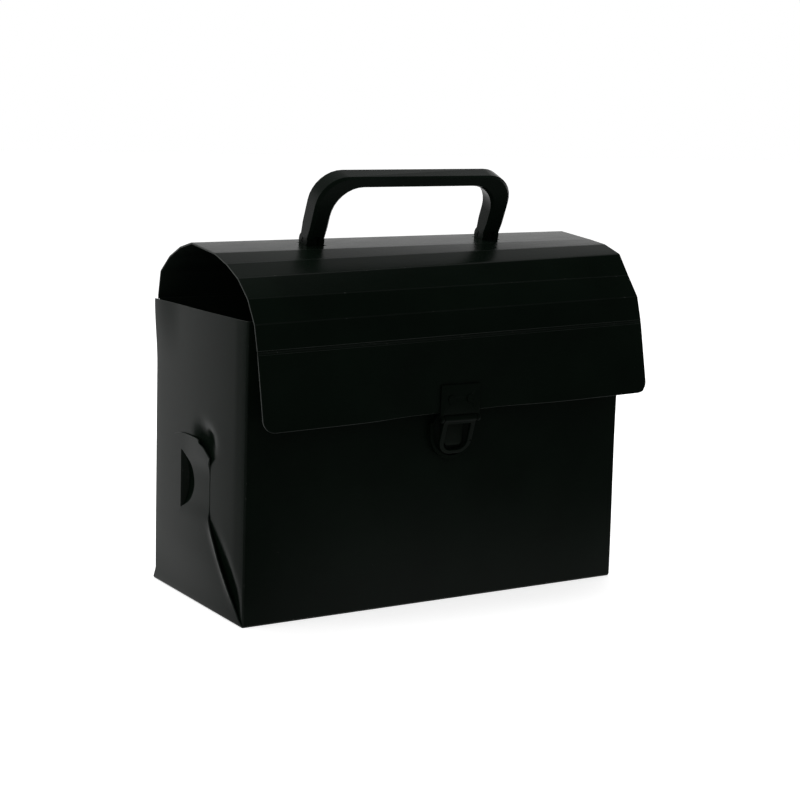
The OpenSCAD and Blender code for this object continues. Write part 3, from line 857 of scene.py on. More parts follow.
@dataclass
class FoldedCase:
    """The sheet up to the lid's hinge: front and sides, base with its tucks, and back.

    Attributes:
        fold: Reach of the rounding at a fold.
        slit: Width of the slits in the sides.
        neck_low: Height at which the slits begin.
        neck_high: Height at which the slits end.
        neck_front: Depth of the front slit's edge at the neck.
        neck_back: Depth of the rear slit's edge at the neck.
        neck_gap: Clearance between a tuck's neck and the front slit.
        neck_lead: How far beyond the slits a tuck's neck begins to sink in.
        neck_ease: Length over which it sinks in.
        head_reach: Length of the tuck's sheet above the slits.
        head_lift: How far the front tip of a tuck's head stands off the side.
        tip_heights: Heights between which the tip begins to lift.
        tip_depths: Depths between which the tip begins to lift, from behind.
        edge_slope: How far a tuck's front edge runs back for each unit that it rises.
        edge_lift: How far a tuck's front edge stands off the side.
        edge_width: Width of the lifted strip along that edge.
        edge_rise: Heights between which its lift begins.
        edge_fade: Heights between which its lift ends, from above.
        side_bow: Outward bow of the sides.
        tuck_bow: How much more a tuck bows than its side.
        bow_shape: Power of the bow's curve across the depth; a low one is full.
        bow_rise: Height over which the bow begins.
        strap_dip: How far the sheet between the slits is pressed in.
        strap_shape: Power of the pressed strip's curve.
        pocket_dip: Depth of the pocket in the side beside a tuck's head.
        pocket_at: Depth and height of the pocket's middle.
        pocket_radius: Radius of the pocket across the depth.
        pocket_squash: How much lower the pocket is than it is wide.
        pocket_shape: Power of the pocket's curve; a high one is narrow.
        wedge_dip: How far the side is pressed in along a tuck's front edge.
        wedge_lead: How far in front of that edge the middle of the press lies.
        wedge_width: Half the width of the press.
        wedge_at: Height of the middle of the press.
        wedge_reach: Half the height of the press.
        ear: How far the sides' rear top corners stand out.
        ear_depths: Depths between which the ears begin.
        ear_heights: Heights between which the ears begin.
        corner_ease: Distance from a front corner over which a side's shape begins.
        front_bow: Outward bow of the front panel.
        front_bow_at: Height of the front bow's middle.
        front_bow_reach: Half the height of the front bow.
        foot_flare: How far the right side stands out at its foot.
        flare_height: Height up to which it stands out.
        back_bulge: Bulge of the back panel beside the rear tucks.
        bulge_at: Height of the bulge's middle.
        bulge_reach: Half the height of the bulge.
        bulge_loss: Share of the bulge that is gone at the middle of the back.
        side_step: Spacing of the points on the sides.
        front_step: Spacing of the points across the front.
        tuck_step: Spacing of the points on the tucks.
        base_step: Spacing of the points across the base.
        back_steps: Spacing of the points across and up the back.
        half_w: Half the width of the case over its sides.
        base_half_w: Half the width of the case over its tucks.
        front_y: Depth of the front's outer face.
        back_y: Depth of the back's outer face.
        bottom: Height of the underside.
        top: Height of the front's upper edge.
        back_top: Height of the back's upper edge.
        sheet: Thickness of the sheet.
    """

    fold: float = 0.8 * MM
    slit: float = 0.5 * MM
    neck_low: float = 45 * MM
    neck_high: float = 74 * MM
    neck_front: float = -15.2 * MM
    neck_back: float = 16.8 * MM
    neck_gap: float = 0.1 * MM
    neck_lead: float = 2 * MM
    neck_ease: float = 9 * MM
    head_reach: float = 11 * MM
    head_lift: float = 0.9 * MM
    tip_heights: Point2 = (68 * MM, 80 * MM)
    tip_depths: Point2 = (12 * MM, -16 * MM)
    edge_slope: float = 0.72
    edge_lift: float = 0.5 * MM
    edge_width: float = 3.2 * MM
    edge_rise: Point2 = (4 * MM, 18 * MM)
    edge_fade: Point2 = (46 * MM, 38 * MM)
    side_bow: float = 1.3 * MM
    tuck_bow: float = 0.1 * MM
    bow_shape: float = 0.7
    bow_rise: float = 30 * MM
    strap_dip: float = 3.4 * MM
    strap_shape: float = 0.6
    pocket_dip: float = 3.2 * MM
    pocket_at: Point2 = (-9.5 * MM, 84 * MM)
    pocket_radius: float = 15 * MM
    pocket_squash: float = 1.35
    pocket_shape: float = 1.5
    wedge_dip: float = 1.7 * MM
    wedge_lead: float = 0.5 * MM
    wedge_width: float = 12 * MM
    wedge_at: float = 20 * MM
    wedge_reach: float = 27 * MM
    ear: float = 1.6 * MM
    ear_depths: Point2 = (20 * MM, 50 * MM)
    ear_heights: Point2 = (112 * MM, 146 * MM)
    corner_ease: float = 8 * MM
    front_bow: float = 0.4 * MM
    front_bow_at: float = 80 * MM
    front_bow_reach: float = 90 * MM
    foot_flare: float = 1.2 * MM
    flare_height: float = 90 * MM
    back_bulge: float = 1.8 * MM
    bulge_at: float = 96 * MM
    bulge_reach: float = 30 * MM
    bulge_loss: float = 0.7
    side_step: float = 3.5 * MM
    front_step: float = 20 * MM
    tuck_step: float = 3 * MM
    base_step: float = 28 * MM
    back_steps: Point2 = (9 * MM, 6 * MM)
    half_w: float = field(init=False)
    base_half_w: float = field(init=False)
    front_y: float = field(init=False)
    back_y: float = field(init=False)
    bottom: float = field(init=False)
    top: float = field(init=False)
    back_top: float = field(init=False)
    sheet: float = field(init=False)

    def __post_init__(self) -> None:
        """Reads the outer sizes of the case from the frame."""
        front_low, front_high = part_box("front_panel")
        back_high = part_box("back_panel")[1]
        base_low, base_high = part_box("base_panel")
        self.half_w = front_high.x
        self.front_y = front_low.y
        self.back_y = back_high.y
        self.sheet = front_high.y - front_low.y
        self.top = front_high.z
        self.back_top = back_high.z
        self.base_half_w = base_high.x
        self.bottom = base_low.z

    def build(self) -> None:
        """Builds and dresses the sheet pieces of the case."""
        for make, nodes in (
            (self.front_and_sides, ("front_panel", "left_side_panel", "right_side_panel")),
            (self.base_and_tucks, ("base_panel", "left_base_tuck", "right_base_tuck")),
            (self.back_and_tucks, ("back_panel", "left_rear_tuck", "right_rear_tuck")),
        ):
            dress_sheet(make(), "case", *nodes)

    def behind_edge(self, y: float, z: float) -> float:
        """How far depth y lies behind a tuck's front edge at height z."""
        return (y - self.neck_front) + (self.neck_low - z) * self.edge_slope

    def bow(self, most: float, y: float, z: float) -> float:
        """Outward bow of a side or a tuck.

        Args:
            most: The bow at mid depth.
            y: Depth.
            z: Height.

        Returns:
            How far the sheet bows out there.
        """
        across = min(max((y - self.front_y) / (self.back_y - self.front_y), 0), 1)
        rise = smooth((z - self.bottom) / self.bow_rise)
        return most * math.sin(math.pi * across) ** self.bow_shape * rise

    def side_shift(self, y: float, z: float) -> float:
        """How far a side's sheet stands out of its plane.

        Args:
            y: Depth.
            z: Height.

        Returns:
            The shift outwards.
        """
        bow = self.bow(self.side_bow, y, z)
        ear = self.ear * ramp(z, *self.ear_heights) * ramp(y, *self.ear_depths)
        from_pocket = math.hypot(y - self.pocket_at[0], self.pocket_squash * (z - self.pocket_at[1]))
        pocket = self.pocket_dip * bump(from_pocket, self.pocket_radius) ** self.pocket_shape
        wedge = self.wedge_dip * bump(self.behind_edge(y, z) + self.wedge_lead, self.wedge_width)
        wedge *= bump(z - self.wedge_at, self.wedge_reach)
        strap = 0.0
        if self.neck_front < y < self.neck_back and self.neck_low < z < self.neck_high:
            rise = (z - self.neck_low) / (self.neck_high - self.neck_low)
            strap = (self.strap_dip + bow) * math.sin(math.pi * rise) ** self.strap_shape
        return bow + ear - pocket - wedge - strap

    def front_and_sides(self) -> bpy.types.Object:
        """The front panel with both sides, folded round the two front corners.

        Returns:
            The new object.
        """
        half = self.sheet / 2
        side_x = self.half_w - half
        front = self.front_y + half
        rear = self.back_y - self.sheet
        corners = [(-side_x, rear), (-side_x, front), (side_x, front), (side_x, rear)]
        line = FoldLine(corners, self.fold)
        bottom = self.bottom + self.sheet
        _, first, second, end = line.stations

        def place(u: float, v: float, w: float) -> Vector:
            """Puts a point of the flat wrap into the folded case.

            Args:
                u: Distance round the case from the left side's rear edge.
                v: Height.
                w: Height off the middle of the sheet.

            Returns:
                The place.
            """
            (x, y), (tx, ty) = line.at(u)
            shift = 0.0
            if u < first or u > second:
                shift = self.side_shift(y, v)
                shift *= smooth(min(abs(u - first), abs(u - second)) / self.corner_ease)
            elif first + self.fold < u < second - self.fold:
                shift = self.front_bow * math.sin(math.pi * (u - first) / (second - first))
                shift *= bump(v - self.front_bow_at, self.front_bow_reach)
            flare = self.foot_flare * ramp(u, first, second) * ramp(v, self.flare_height, 0)
            return Vector((x + ty * (w + shift) + flare, y - tx * (w + shift), v))

        def slit(depth: float, side: int) -> list[Point2]:
            """A slit of a side.

            Args:
                depth: Depth of its front edge.
                side: -1 for the left side, 1 for the right one.

            Returns:
                Its corners, clockwise.
            """
            near = rear - depth if side < 0 else end - rear + depth
            low, high = sorted((near, near + side * self.slit))
            return [
                (low, self.neck_low), (low, self.neck_high),
                (high, self.neck_high), (high, self.neck_low),
            ]

        holes = [
            slit(depth, side)
            for side in (-1, 1)
            for depth in (self.neck_front - self.slit, self.neck_back)
        ]
        us = sorted({
            *spaced(0, first - self.fold, self.side_step), *line.fold_rows(),
            *spaced(first + self.fold, second - self.fold, self.front_step),
            *spaced(second + self.fold, end, self.side_step),
        })
        return CutSheet(
            name="front_and_sides",
            outline=[(0, bottom), (end, bottom), (end, self.top), (0, self.top)],
            holes=holes, place=place, us=us, vs=spaced(bottom, self.top, self.side_step),
            thickness=self.sheet, u_folds=[first, second],
        ).build()

    def tuck_outline(self) -> list[Point2]:
        """Outline of a base tuck, from its rear foot over its head to its front foot.

        Returns:
            Points as depth and height.
        """
        low, high = self.neck_low, self.neck_high
        back = self.neck_back
        foot = self.bottom + self.sheet
        lap = self.neck_front - self.neck_gap
        heel = (back - 2 * MM, low + 0.6 * MM)
        nape = (back - 3 * MM, high + 0.4 * MM)
        rear_edge = smooth_curve([
            (self.back_y, foot), (self.back_y - 6.5 * MM, 13 * MM),
            (self.back_y - 17 * MM, 28.5 * MM), (self.back_y - 27.5 * MM, 39.5 * MM), heel,
        ], steps=4)
        hollow = smooth_curve([
            heel, (back - 11 * MM, low + 6 * MM), (back - 15.5 * MM, 59.5 * MM),
            (back - 12 * MM, high - 5.5 * MM), nape,
        ], steps=5)
        head = smooth_curve([
            nape, (back + 2.5 * MM, high + 3 * MM), (back + 7 * MM, high + 7 * MM),
        ], steps=3)
        crown = smooth_curve([
            (back + 7 * MM, high + 7.2 * MM), (back - 2 * MM, high + 9 * MM),
            (-2.5 * MM, high + 9.2 * MM), (-5.2 * MM, high + 8.4 * MM),
        ], steps=4)
        brow = smooth_curve([
            (-5.8 * MM, high + 7.2 * MM), (-12 * MM, high + 5.4 * MM),
            (lap - 3.2 * MM, high + 0.8 * MM),
        ], steps=4)
        neck = [(lap, high - 1.5 * MM), (lap, low + 1 * MM)]
        front_edge = smooth_curve([
            (lap - 0.3 * MM, low), (-21.3 * MM, 36.3 * MM), (-28.2 * MM, 25.5 * MM),
            (-38 * MM, 13.1 * MM), (self.front_y + 1.5 * MM, foot),
        ], steps=4)
        toe = (self.front_y + 0.4 * MM, foot)
        return [*rear_edge, *hollow, *head, *crown, *brow, *neck, *front_edge, toe]

    def tuck_shift(self, y: float, z: float) -> float:
        """How far a base tuck stands off its plane.

        Args:
            y: Depth.
            z: Height.

        Returns:
            The shift outwards.
        """
        edge = self.edge_lift * ramp(z, *self.edge_rise) * ramp(z, *self.edge_fade)
        edge *= smooth(1 - self.behind_edge(y, z) / self.edge_width)
        tip = self.head_lift * ramp(z, *self.tip_heights) * ramp(y, *self.tip_depths)
        low, high = self.neck_low - self.neck_lead, self.neck_high + self.neck_lead
        neck = ramp(z, low, low + self.neck_ease) * ramp(z, high, high - self.neck_ease)
        flush = (self.base_half_w - self.half_w) * neck
        return self.bow(self.side_bow + self.tuck_bow, y, z) + edge + tip - flush

    def base_and_tucks(self) -> bpy.types.Object:
        """The base with a tuck turned up at each side.

        Returns:
            The new object.
        """
        half = self.sheet / 2
        side_x = self.base_half_w - half
        floor = self.bottom + half
        head_z = self.neck_high + self.head_reach
        corners = [(-side_x, head_z), (-side_x, floor), (side_x, floor), (side_x, head_z)]
        line = FoldLine(corners, self.fold)
        _, first, second, end = line.stations

        def place(u: float, v: float, w: float) -> Vector:
            """Puts a point of the flat base and tucks into place.

            Args:
                u: Distance across from the left tuck's head.
                v: Depth.
                w: Height off the middle of the sheet.

            Returns:
                The place.
            """
            (x, z), (tx, tz) = line.at(u)
            shift = self.tuck_shift(v, z) if u < first or u > second else 0.0
            return Vector((x + tz * (w + shift), v, z - tx * (w + shift)))

        tuck = self.tuck_outline()
        left = [(first - (z - floor), y) for y, z in tuck]
        right = [(second + (z - floor), y) for y, z in reversed(tuck)]
        us = sorted({
            *spaced(0, first - self.fold, self.tuck_step), *line.fold_rows(),
            *spaced(first + self.fold, second - self.fold, self.base_step),
            *spaced(second + self.fold, end, self.tuck_step),
        })
        return CutSheet(
            name="base_and_tucks",
            outline=[
                (first + self.fold, self.front_y), (second - self.fold, self.front_y), *right,
                (second - self.fold, self.back_y), (first + self.fold, self.back_y), *left,
            ],
            place=place, us=us, vs=spaced(self.front_y, self.back_y, self.tuck_step),
            thickness=self.sheet, u_folds=[first, second],
        ).build()

    def back_and_tucks(self) -> bpy.types.Object:
        """The back panel with the rear tucks turned in behind the sides.

        Returns:
            The new object.
        """
        half = self.sheet / 2
        back = self.back_y - half
        low_in, high_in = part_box("left_rear_tuck")
        side_x = -(low_in.x + high_in.x) / 2
        corners = [(-side_x, low_in.y), (-side_x, back), (side_x, back), (side_x, low_in.y)]
        line = FoldLine(corners, self.fold)
        _, first, second, end = line.stations
        bottom = self.bottom + self.sheet
        tuck_w = high_in.y - low_in.y
        tuck_top = high_in.z
        taper = tuck_w / 2

        def place(u: float, v: float, w: float) -> Vector:
            """Puts a point of the flat back into place.

            Args:
                u: Distance round from the left tuck's edge.
                v: Height.
                w: Height off the middle of the sheet.

            Returns:
                The place.
            """
            (x, y), (tx, ty) = line.at(u)
            middle = min(max((u - first) / (second - first), 0), 1)
            shift = self.back_bulge * bump(v - self.bulge_at, self.bulge_reach)
            shift *= 1 - self.bulge_loss * math.sin(math.pi * middle)
            if not first < u < second:
                shift *= smooth((y - low_in.y) / tuck_w)
            return Vector((x - ty * w, y + tx * w + shift, v))

        across, upward = self.back_steps
        return CutSheet(
            name="back_and_rear_tucks",
            outline=[
                (first - tuck_w + half, bottom + taper), (first - self.fold, bottom + self.fold),
                (first, bottom), (second, bottom), (second + self.fold, bottom + self.fold),
                (second + tuck_w - half, bottom + taper), (second + tuck_w - half, tuck_top - taper),
                (second + self.fold, tuck_top), (second, self.back_top), (first, self.back_top),
                (first - self.fold, tuck_top), (first - tuck_w + half, tuck_top - taper),
            ],
            place=place,
            us=sorted({*line.fold_rows(), *spaced(0, end, across)}),
            vs=spaced(bottom, self.back_top, upward),
            thickness=self.sheet, u_folds=[first, second],
        ).build()


# ---- The vault lid ----


@dataclass
class Vault:
    """The lid: ten strips between creases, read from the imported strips.

    Attributes:
        fold: Reach of the rounding at a crease.
        hinge_gap: Bare length left beside a hinge crease for the hinge web.
        hinge_start: Bare length left where the lid's own sheet begins.
        web: Thickness of the hinge web.
        web_rim: Rounding of the web's edges.
        web_foot: How far the lid's web reaches down over the back panel.
        web_lead: Height of the web's first row of faces.
        web_reach: How far the web reaches over the hinge.
        web_row: Height of its other rows.
        web_step: Spacing of the points across the web.
        step: Spacing of the points across the lid.
        end_band: Distance from an end within which a strip's corners lie.
        crease_band: Distance within which two corners belong to one crease.
        slot_band: Distance from an anchor's middle within which its slot's corners lie.
        strips: Strips that the lid stands for, from the hinge to the flap.
        left_x: Place of the left end.
        right_x: Place of the right end.
        left: Cut through the lid at its left end.
        right: Cut through the lid at its right end.
        sheet: Thickness of the sheet.
        length: Length of the lid from the hinge to the flap's crease.
    """

    fold: float = 0.7 * MM
    hinge_gap: float = 0.9 * MM
    hinge_start: float = 0.35 * MM
    web: float = 0.36 * MM
    web_rim: float = 0.05 * MM
    web_foot: float = 0.5 * MM
    web_lead: float = 0.3 * MM
    web_reach: float = 1.2 * MM
    web_row: float = 0.25 * MM
    web_step: float = 15 * MM
    step: float = 9 * MM
    end_band: float = 0.05 * MM
    crease_band: float = 1.4 * MM
    slot_band: float = 8 * MM
    strips: tuple[str, ...] = (
        *(f"lid_rear_strip_{i}" for i in range(1, 5)),
        "lid_top_strip",
        *(f"lid_front_strip_{i}" for i in range(1, 6)),
    )
    left_x: float = field(init=False)
    right_x: float = field(init=False)
    left: FoldLine = field(init=False)
    right: FoldLine = field(init=False)
    sheet: float = field(init=False)
    length: float = field(init=False)

    def __post_init__(self) -> None:
        """Reads both ends of the vault from the frame."""
        low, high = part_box("lid_top_strip")
        self.left_x, self.right_x = low.x, high.x
        self.left = FoldLine(self._end(self.left_x), self.fold)
        self.right = FoldLine(self._end(self.right_x), self.fold)
        front_low, front_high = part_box("front_panel")
        self.sheet = front_high.y - front_low.y
        self.length = self.left.length

    def _end(self, x: float) -> list[Point2]:
        """Crease points of the vault at one end, hinge first.

        Args:
            x: Place of the end.

        Returns:
            Points as depth and height.
        """
        hinge = joint("lid_hinge")["pos_m"]
        points: list[Point2] = [(hinge[1], hinge[2])]
        for strip in self.strips[:-1]:
            found = {
                (round(v.co.y, 6), round(v.co.z, 6))
                for v in FRAME["nodes"][strip].data.vertices
                if abs(v.co.x - x) < self.end_band
            }
            far = max(found, key=lambda p: math.dist(p, points[-1]))
            pair = [p for p in found if math.dist(p, far) < self.crease_band]
            points.append((sum(p[0] for p in pair) / len(pair), sum(p[1] for p in pair) / len(pair)))
        fold = joint("flap_fold")
        turns = (x - fold["pos_m"][0]) / fold["axis"][0]
        points.append(tuple(fold["pos_m"][i] + fold["axis"][i] * turns for i in (1, 2)))
        return points

    def at(self, x: float, distance: float) -> tuple[Point2, Point2]:
        """Place and direction of the lid at x, some distance over from the hinge.

        Args:
            x: Place across the lid.
            distance: Distance along the sheet from the hinge.

        Returns:
            Depth and height, and the unit direction there.
        """
        share = (x - self.left_x) / (self.right_x - self.left_x)
        left, left_way = self.left.at(distance)
        right, right_way = self.right.at(distance)
        way = lerp(left_way, right_way, share)
        size = math.hypot(*way)
        return lerp(left, right, share), (way[0] / size, way[1] / size)

    def place(self, u: float, v: float, w: float) -> Vector:
        """Puts a point of the flat lid into the vault; u runs across, v over from the hinge."""
        (y, z), (ty, tz) = self.at(u, v)
        return Vector((u, y + tz * w, z - ty * w))

    def slots(self) -> list[list[Point2]]:
        """The two slots for the handle's feet.

        Returns:
            Their corners in flat sheet coordinates, clockwise.
        """
        holes = []
        top = self.strips.index("lid_top_strip")
        middle = (self.left.stations[top] + self.left.stations[top + 1]) / 2
        corners = [v.co for v in FRAME["nodes"]["lid_top_strip"].data.vertices]
        for node in ("left_handle_anchor", "right_handle_anchor"):
            low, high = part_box(node)
            x = (low.x + high.x) / 2
            rim = [c for c in corners if abs(c.x - x) < self.slot_band]
            half_w = (max(c.x for c in rim) - min(c.x for c in rim)) / 2
            half_d = (max(c.y for c in rim) - min(c.y for c in rim)) / 2
            holes.append([
                (x - half_w, middle - half_d), (x - half_w, middle + half_d),
                (x + half_w, middle + half_d), (x + half_w, middle - half_d),
            ])
        return holes

    def build(self) -> None:
        """Builds and dresses the lid and the web of its hinge."""
        left, right = self.left_x, self.right_x
        start, end = self.hinge_start, self.length - self.hinge_gap
        stations = self.left.stations
        middles = [(a + b) / 2 for a, b in zip(stations, stations[1:])]
        lid = CutSheet(
            name="vault_lid",
            outline=[(left, start), (right, start), (right, end), (left, end)],
            holes=self.slots(), place=self.place, us=spaced(left, right, self.step),
            vs=sorted({start, end, *self.left.fold_rows(), *middles}),
            thickness=self.sheet, v_folds=stations[1:-1],
        ).build()
        dress_sheet(lid, "lid", *self.strips)
        self.build_hinge()
        for node in ("left_handle_anchor", "right_handle_anchor"):
            dress_node(node, MOULDING, ANCHOR_EDGE)

    def build_hinge(self) -> None:
        """The thin web that joins the back panel to the lid, bent round the hinge."""
        depth, height = self.left.corners[0]
        back_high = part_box("back_panel")[1]
        low, high = back_high.z - self.web_foot, height + self.web_reach
        row = self.web_row
        rows = [low, *spaced(low + self.web_lead, height, row), *spaced(height + row, high, row)]

        def place(u: float, v: float, w: float) -> Vector:
            """Puts a point of the web into place.

            Args:
                u: Place across.
                v: Height up to the hinge, from where it runs on over the lid.
                w: Height off the middle of the web.

            Returns:
                The place.
            """
            if v <= height:
                return Vector((u, depth + w, v))
            return self.place(u, v - height, w)

        left, right = max(-back_high.x, self.left_x), min(back_high.x, self.right_x)
        web = CutSheet(
            name="lid_hinge_web",
            outline=[(left, low), (right, low), (right, high), (left, high)],
            place=place, us=spaced(left, right, self.web_step), vs=rows,
            thickness=self.web, rim=self.web_rim, v_folds=[height],
        ).build()
        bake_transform(web)
        dress_sheet(web, "")


# ---- The front flap ----


@dataclass
class FrontFlap:
    """The flap below the vault's last crease, drawn in at the lock.

    Attributes:
        vault: The lid that the flap hangs from.
        corner: Radius of the lower corners.
        corner_steps: Straight pieces in the arc of a corner.
        shortest: Distance from the crease beyond which a point is on the flap's lower edge.
        step: Spacing of the points on the flap.
        web_lap: How far the web reaches past the bare length beside the crease.
        web_step: Spacing of the points across the web.
        web_row: Height of the web's rows of faces.
        stations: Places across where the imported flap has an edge.
        ways: Direction down the flap at each station, as depth and height.
        length: Length of the flap from its crease.
    """

    vault: Vault
    corner: float = 6 * MM
    corner_steps: int = 8
    shortest: float = 25 * MM
    step: float = 5 * MM
    web_lap: float = 0.5 * MM
    web_step: float = 9 * MM
    web_row: float = 0.2 * MM
    stations: list[float] = field(init=False)
    ways: list[Vector] = field(init=False)
    length: float = field(init=False)

    def __post_init__(self) -> None:
        """Reads the flap's length and its heading across the width from the frame."""
        total = self.vault.length
        longest: dict[float, Vector] = {}
        for vertex in FRAME["nodes"]["front_flap"].data.vertices:
            x = round(vertex.co.x, 5)
            (y, z), _ = self.vault.at(x, total)
            way = Vector((vertex.co.y - y, vertex.co.z - z))
            if x not in longest or way.length > longest[x].length:
                longest[x] = way
        longest = {x: way for x, way in longest.items() if way.length > self.shortest}
        self.stations = sorted(longest)
        self.ways = [longest[x].normalized() for x in self.stations]
        self.length = max(way.length for way in longest.values())

    def way(self, x: float) -> Vector:
        """Direction down the flap.

        Args:
            x: Place across.

        Returns:
            The unit direction there, as depth and height.
        """
        if x <= self.stations[0]:
            return self.ways[0]
        for a, b, first, second in zip(self.stations, self.stations[1:], self.ways, self.ways[1:]):
            if x <= b:
                return first.lerp(second, (x - a) / (b - a)).normalized()
        return self.ways[-1]

    def place(self, u: float, v: float, w: float) -> Vector:
        """Puts a point of the flat flap into place.

        Args:
            u: Place across.
            v: Distance down from the crease.
            w: Height off the middle of the sheet.

        Returns:
            The place.
        """
        (y, z), _ = self.vault.at(u, self.vault.length)
        way = self.way(u)
        return Vector((u, y + way.x * v + way.y * w, z + way.y * v - way.x * w))

    def build(self) -> None:
        """Builds and dresses the flap and the web of its hinge."""
        left, right, r = self.vault.left_x, self.vault.right_x, self.corner
        start, end = self.vault.hinge_gap, self.length
        flap = CutSheet(
            name="front_flap_sheet",
            outline=[
                (left, start), (right, start),
                *arc((right - r, end - r), r, 0, 90, self.corner_steps),
                *arc((left + r, end - r), r, 90, 180, self.corner_steps),
            ],
            place=self.place, us=spaced(left, right, self.step), vs=spaced(start, end, self.step),
            thickness=self.vault.sheet,
        ).build()
        dress_sheet(flap, "flap", "front_flap")
        self.build_hinge()

    def build_hinge(self) -> None:
        """The thin web that joins the vault to the flap, bent round the flap's crease."""
        left, right = self.vault.left_x, self.vault.right_x
        reach = self.vault.hinge_gap + self.web_lap
        total = self.vault.length

        def place(u: float, v: float, w: float) -> Vector:
            """Puts a point of the web into place; v is 0 at the crease and grows down the flap."""
            return self.vault.place(u, total + v, w) if v < 0 else self.place(u, v, w)

        web = CutSheet(
            name="flap_hinge_web",
            outline=[(left, -reach), (right, -reach), (right, reach), (left, reach)],
            place=place, us=spaced(left, right, self.web_step), vs=spaced(-reach, reach, self.web_row),
            thickness=self.vault.web, rim=self.vault.web_rim, v_folds=[0.0],
        ).build()
        fold = Vector(joint("flap_fold")["pos_m"])
        _, (ty, tz) = self.vault.at(fold.x, total - 2 * self.vault.fold)
        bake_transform(web)
        dress_sheet(web, "")


# ---- The push lock ----


@dataclass
class PushLock:
    """Plate and loop on the flap; receiver and button on the case.

    Attributes:
        edge: Rounding of the moulded edges.
        rivet_edge: Rounding of the plate's rivet heads.
    """

    edge: float = 0.25 * MM
    rivet_edge: float = 0.15 * MM

    def build(self) -> None:
        """Dresses the pieces of the lock."""
        for node in ("lock_loop", "lock_base", "lock_back_cup"):
            dress_node(node, LOCK_MOULDING, self.edge)
        dress_node("lock_plate", LOCK_MOULDING, 0)
        dress_node("lock_button", BUTTON_WITH_PAINTED_LIGHT, self.edge)
        dress_node("lock_plate_rivets", LOCK_MOULDING, self.rivet_edge)
        for node in ("lock_hinge_pin", "lock_base_rivets"):
            dress_node(node, BLACKED_STEEL, STEEL_EDGE)
        dress_node("lock_spring", STEEL, 0)


# ---- The handle ----


@dataclass
class Handle:
    """The moulded U-shaped handle on its two pins.

    Attributes:
        edge: Rounding of the bevels' edges.
    """

    edge: float = 0.8 * MM

    def build(self) -> None:
        """Dresses the handle and its pins."""
        dress_node("handle", MOULDING, self.edge)
        dress_node("handle_pivot_pins", BLACKED_STEEL, STEEL_EDGE)


# ---- The studio ----


@dataclass(frozen=True)
class Lamp:
    """A square soft lamp that gloss doesn't show.

    Attributes:
        name: Name of the lamp.
        place: Where it stands.
        size: Length of its side.
        power: Its power in watts.
    """

    name: str
    place: Point3
    size: float
    power: float

    def build(self, aim: Point3) -> None:
        """Hangs the lamp.

        Args:
            aim: Point that it shines at.
        """
        light = bpy.data.lights.new(self.name, "AREA")
        light.size = self.size
        light.energy = self.power
        obj = bpy.data.objects.new(self.name, light)
        bpy.context.scene.collection.objects.link(obj)
        obj.location = self.place
        obj.visible_glossy = False
        way = Vector(aim) - Vector(self.place)
        obj.rotation_euler = way.to_track_quat("-Z", "Y").to_euler()


